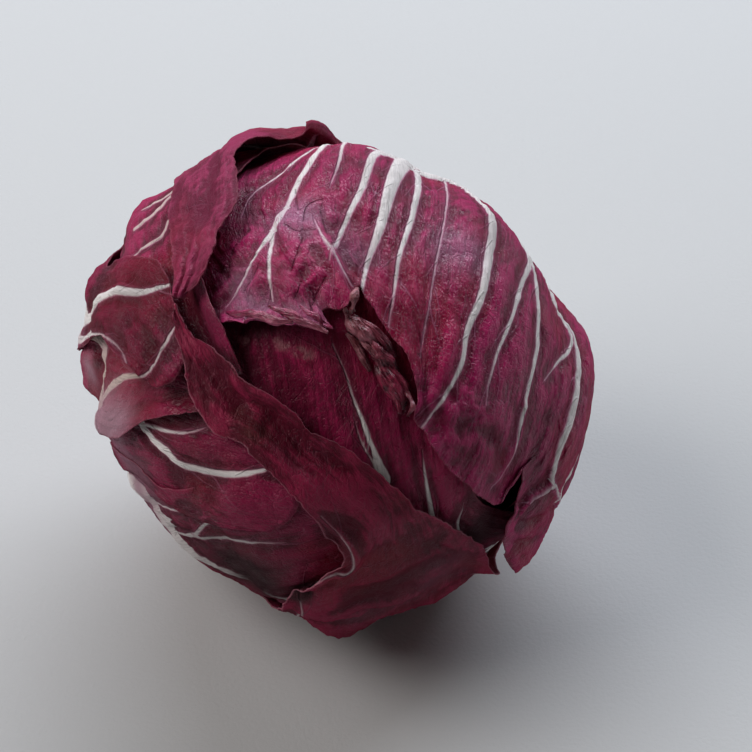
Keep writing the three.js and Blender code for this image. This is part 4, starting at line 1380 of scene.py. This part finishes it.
# ------------------------------------------------------------------------------------------
# The torn shreds. Along its hem the upper leaf has crumpled into small bright folds, and by the
# split near the apex its shreds have rolled up and dried to a brownish red.
# ------------------------------------------------------------------------------------------
def shred_finish(name, deep, bright, dry_deep, dry_bright, lit):
    """A torn strip's skin, fresh or dry along its length, with glossy streaks painted pale as highlights."""
    finish = Finish(name, Specular_IOR_Level=0.4, Coat_Weight=0.4, Coat_Roughness=0.18)
    place = own_place(finish)
    blotch = finish.cloud(place, 360, 4)
    streak = finish.cloud(finish.scaled(finish.attribute("blade", "Vector"), (1.8, 0.25, 1)), 1, 4)
    fresh = finish.blend(blotch.step(0.36, 0.64), deep, bright)
    dry = finish.blend(blotch.step(0.4, 0.6), dry_deep, dry_bright)
    skin = finish.blend(finish.attribute("dry") + (streak - 0.5) * 0.8, fresh, dry)
    # painted highlights along the streaks
    skin = finish.blend(streak.step(0.58, 0.7) * 0.6, skin, lit)
    relief = streak * 1.6 + finish.cloud(place, 900, 4) * 0.4
    finish.feed(Base_Color=skin, Roughness=blotch * 0.3 + 0.16, Normal=finish.bump(relief, 0.0006))
    return finish


SHRED_LONG, SHRED_WIDE = 56, 22  # cells of a strip's grid
SHRED_DEPTH = 0.3  # and how thick the strip itself is


def shred(name, finish, path, thick, turn, rise, dry, seed):
    """A strip along a path on the pile, rolled up by turn. dry tells how dry each of its ends is."""
    bm = bmesh.new()
    bmesh.ops.create_grid(bm, x_segments=SHRED_WIDE, y_segments=SHRED_LONG, size=1)
    bmesh.ops.solidify(bm, geom=bm.faces[:], thickness=1)
    shares = np.linspace(0, 1, SHRED_LONG + 1)
    course = smooth_line(map_points(path), shares)
    ways = map_ways(course)
    ground = blurred(pile.under(course)[:, None], 4)[:, 0] + rise
    line = ways * ground[:, None]
    onward = np.gradient(line, axis=0)
    onward /= np.linalg.norm(onward, axis=1)[:, None]
    sideways = np.cross(onward, ways)
    half_turn = math.radians(turn) / 2
    top = max(vert.co.z for vert in bm.verts)
    blades, dryness = [], []
    for vert in bm.verts:
        row = round((vert.co.y + 1) / 2 * SHRED_LONG)
        share, over = shares[row], vert.co.x
        inside = top - vert.co.z > 0.5
        taper = 0.12 + 0.88 * math.sin(math.pi * (0.04 + 0.92 * share)) ** 0.8
        bulge = noise.noise((1.2 * over, 2.5 * share, seed))
        bulge += 0.3 * noise.noise((3 * over, 7 * share, seed + 5))
        radius = thick / 2 * taper * (1 + 0.13 * bulge)
        bend = over * half_turn * (1 + 0.15 * noise.noise((4 * share, seed, 3)))
        bend += 0.3 * noise.noise((2 * share, seed, 9))
        pleat = 0.11 * (1 - 3 * abs(noise.noise((4 * over, 3 * share, seed + 2)))) * thick
        reach = radius + pleat - (SHRED_DEPTH if inside else 0)
        flat = sideways[row] * reach * math.sin(bend) * (1 + 0.2 * noise.noise((3 * share, seed, 6)))
        up = ways[row] * (0.5 * radius + reach * math.cos(bend))
        blades.append((over * thick, share * 20, 0))
        dryness.append(dry[0] + (dry[1] - dry[0]) * share)
        vert.co = upright(line[row] + flat + up)
    bmesh.ops.recalc_face_normals(bm, faces=bm.faces[:])
    piece = put(name, bm, finish)
    give(piece, "blade", blades)
    give(piece, "dry", dryness)


dried = shred_finish(
    "dried_shred",
    deep=(0.08, 0.004, 0.016),
    bright=(0.36, 0.018, 0.07),
    dry_deep=(0.24, 0.045, 0.06),
    dry_bright=(0.6, 0.24, 0.28),
    lit=(0.72, 0.34, 0.42),
)
fresh_hem = shred_finish(
    "torn_hem",
    deep=(0.2, 0.006, 0.045),
    bright=(0.48, 0.03, 0.15),
    dry_deep=(0.4, 0.1, 0.14),
    dry_bright=(0.6, 0.24, 0.28),
    lit=(0.7, 0.26, 0.38),
)
# Each strip's path, how thick its roll is, how far it turns, how high it stands and how dry it is
DRIED_CURLS = [
    ([[77.5, 46.5], [75, 45], [71, 44], [67, 43], [64, 42.3]], 3.8, 200, 0.4, (0.8, 0.3)),
    ([[66, 42.5], [63, 41.5], [59, 40], [56, 39.5]], 3.2, 190, 0.2, (0.3, 0.1)),
    ([[61, 39.5], [57, 38], [52, 37], [47, 36], [43, 34.5]], 3.8, 170, 0.0, (0.0, 0.0)),
    ([[75, 42.5], [72, 41.5], [69, 40], [66, 38.5], [62, 37]], 1.6, 200, 0.2, (0.9, 0.6)),
    ([[76, 52], [76, 49.5], [75.5, 47.5], [76, 46]], 1.9, 170, 0.8, (1.6, 1.2)),
    ([[70, 42], [66, 41], [62, 40]], 1.2, 180, 1.5, (0.8, 0.5)),
    ([[75, 46.5], [70, 45.6], [66, 45], [61, 43.6], [57, 42.6]], 2.2, 120, 1.2, (0.4, 0.1)),
    ([[68, 43.2], [62, 41.4], [58, 41.2], [53, 39.6]], 2.0, 150, 1.6, (0.3, 0.0)),
    ([[60, 41], [54, 39.4], [49, 38.6], [44, 36.6], [41, 34]], 1.8, 140, 1.4, (0.0, 0.2)),
    ([[55, 37.2], [50, 36], [46, 34.8], [43, 33.4]], 1.5, 150, 1.2, (0.2, 0.0)),
]
HEM_FOLDS = [
    ([[113, 45.5], [109, 44], [104, 43.3], [99, 42.2]], 1.7, 150, 0.2, (0.0, 0.2)),
    ([[106, 43.4], [101, 42.6], [96, 41.2], [91, 41.2]], 1.9, 190, 0.5, (0.2, 0.4)),
    ([[99, 44.6], [95, 43.4], [91, 42.8], [87, 41.4]], 1.3, 160, 0.7, (0.1, 0.3)),
    ([[95, 43], [90, 41.8], [85, 41.2], [80, 40.4]], 1.5, 190, 0.3, (0.1, 0.7)),
    ([[90, 45], [87, 43.5], [84, 42.8], [82, 41.2]], 1.1, 150, 0.5, (0.0, 0.2)),
]
for k, measures in enumerate(DRIED_CURLS):
    shred(f"dried_curl_{k + 1}", dried, *measures, seed=k)
for k, measures in enumerate(HEM_FOLDS):
    shred(f"hem_fold_{k + 1}", fresh_hem, *measures, seed=20 + k)

# ------------------------------------------------------------------------------------------
# The table top, the lights and the camera. A wide soft window stands behind, a second one at
# the left, and a weak reflection fills in from the right.
# ------------------------------------------------------------------------------------------
HEAD_CENTRE = Vector((0, 0, CENTRE_HEIGHT * MM))
CAMERA_RISE = math.radians(40)
CAMERA_DISTANCE = 0.62
TABLE_WIDTH = 6

bpy.ops.mesh.primitive_plane_add(size=TABLE_WIDTH)
table_top = bpy.context.object
table_top.name = "table_top"
paper = Finish("paper", Base_Color=(0.6, 0.6, 0.6, 1), Roughness=0.9)
paper.feed(Normal=paper.bump(paper.cloud(own_place(paper), 900), 0.0001))
table_top.data.materials.append(paper.material)


def soft_light(name, turn, rise, distance, width, height, power, colour=(1, 1, 1)):
    light = bpy.data.lights.new(name, "AREA")
    light.shape = "RECTANGLE"
    light.size = width
    light.size_y = height
    light.energy = power
    light.color = colour
    lamp = bpy.data.objects.new(name, light)
    way = Vector(heading(turn, rise))
    lamp.location = HEAD_CENTRE + way * distance
    lamp.rotation_mode = "QUATERNION"
    lamp.rotation_quaternion = (-way).to_track_quat("-Z", "Y")
    bpy.context.scene.collection.objects.link(lamp)


soft_light("window_light", 76, 45, 1.2, 1.6, 0.62, 17.5, (0.86, 0.92, 1.0))
soft_light("side_light", 186, 44, 1.2, 0.8, 0.8, 8.6, (1.0, 0.97, 0.95))
soft_light("right_bounce", 8, 6, 1.0, 0.8, 0.25, 0.8)

world = bpy.data.worlds.new("studio")
world.use_nodes = True
background = world.node_tree.nodes["Background"]
background.inputs["Color"].default_value = (1, 1, 1, 1)
background.inputs["Strength"].default_value = 0.03
bpy.context.scene.world = world
bpy.context.scene.view_settings.view_transform = "Standard"

camera = bpy.data.objects.new("camera", bpy.data.cameras.new("camera"))
view_way = Vector((0, math.cos(CAMERA_RISE), -math.sin(CAMERA_RISE)))
camera.location = HEAD_CENTRE - view_way * CAMERA_DISTANCE
camera.rotation_mode = "QUATERNION"
camera.rotation_quaternion = view_way.to_track_quat("-Z", "Y")
camera.data.lens = 124.7
camera.data.shift_x = 0.048
camera.data.shift_y = 0.0066
bpy.context.scene.collection.objects.link(camera)
bpy.context.scene.camera = camera
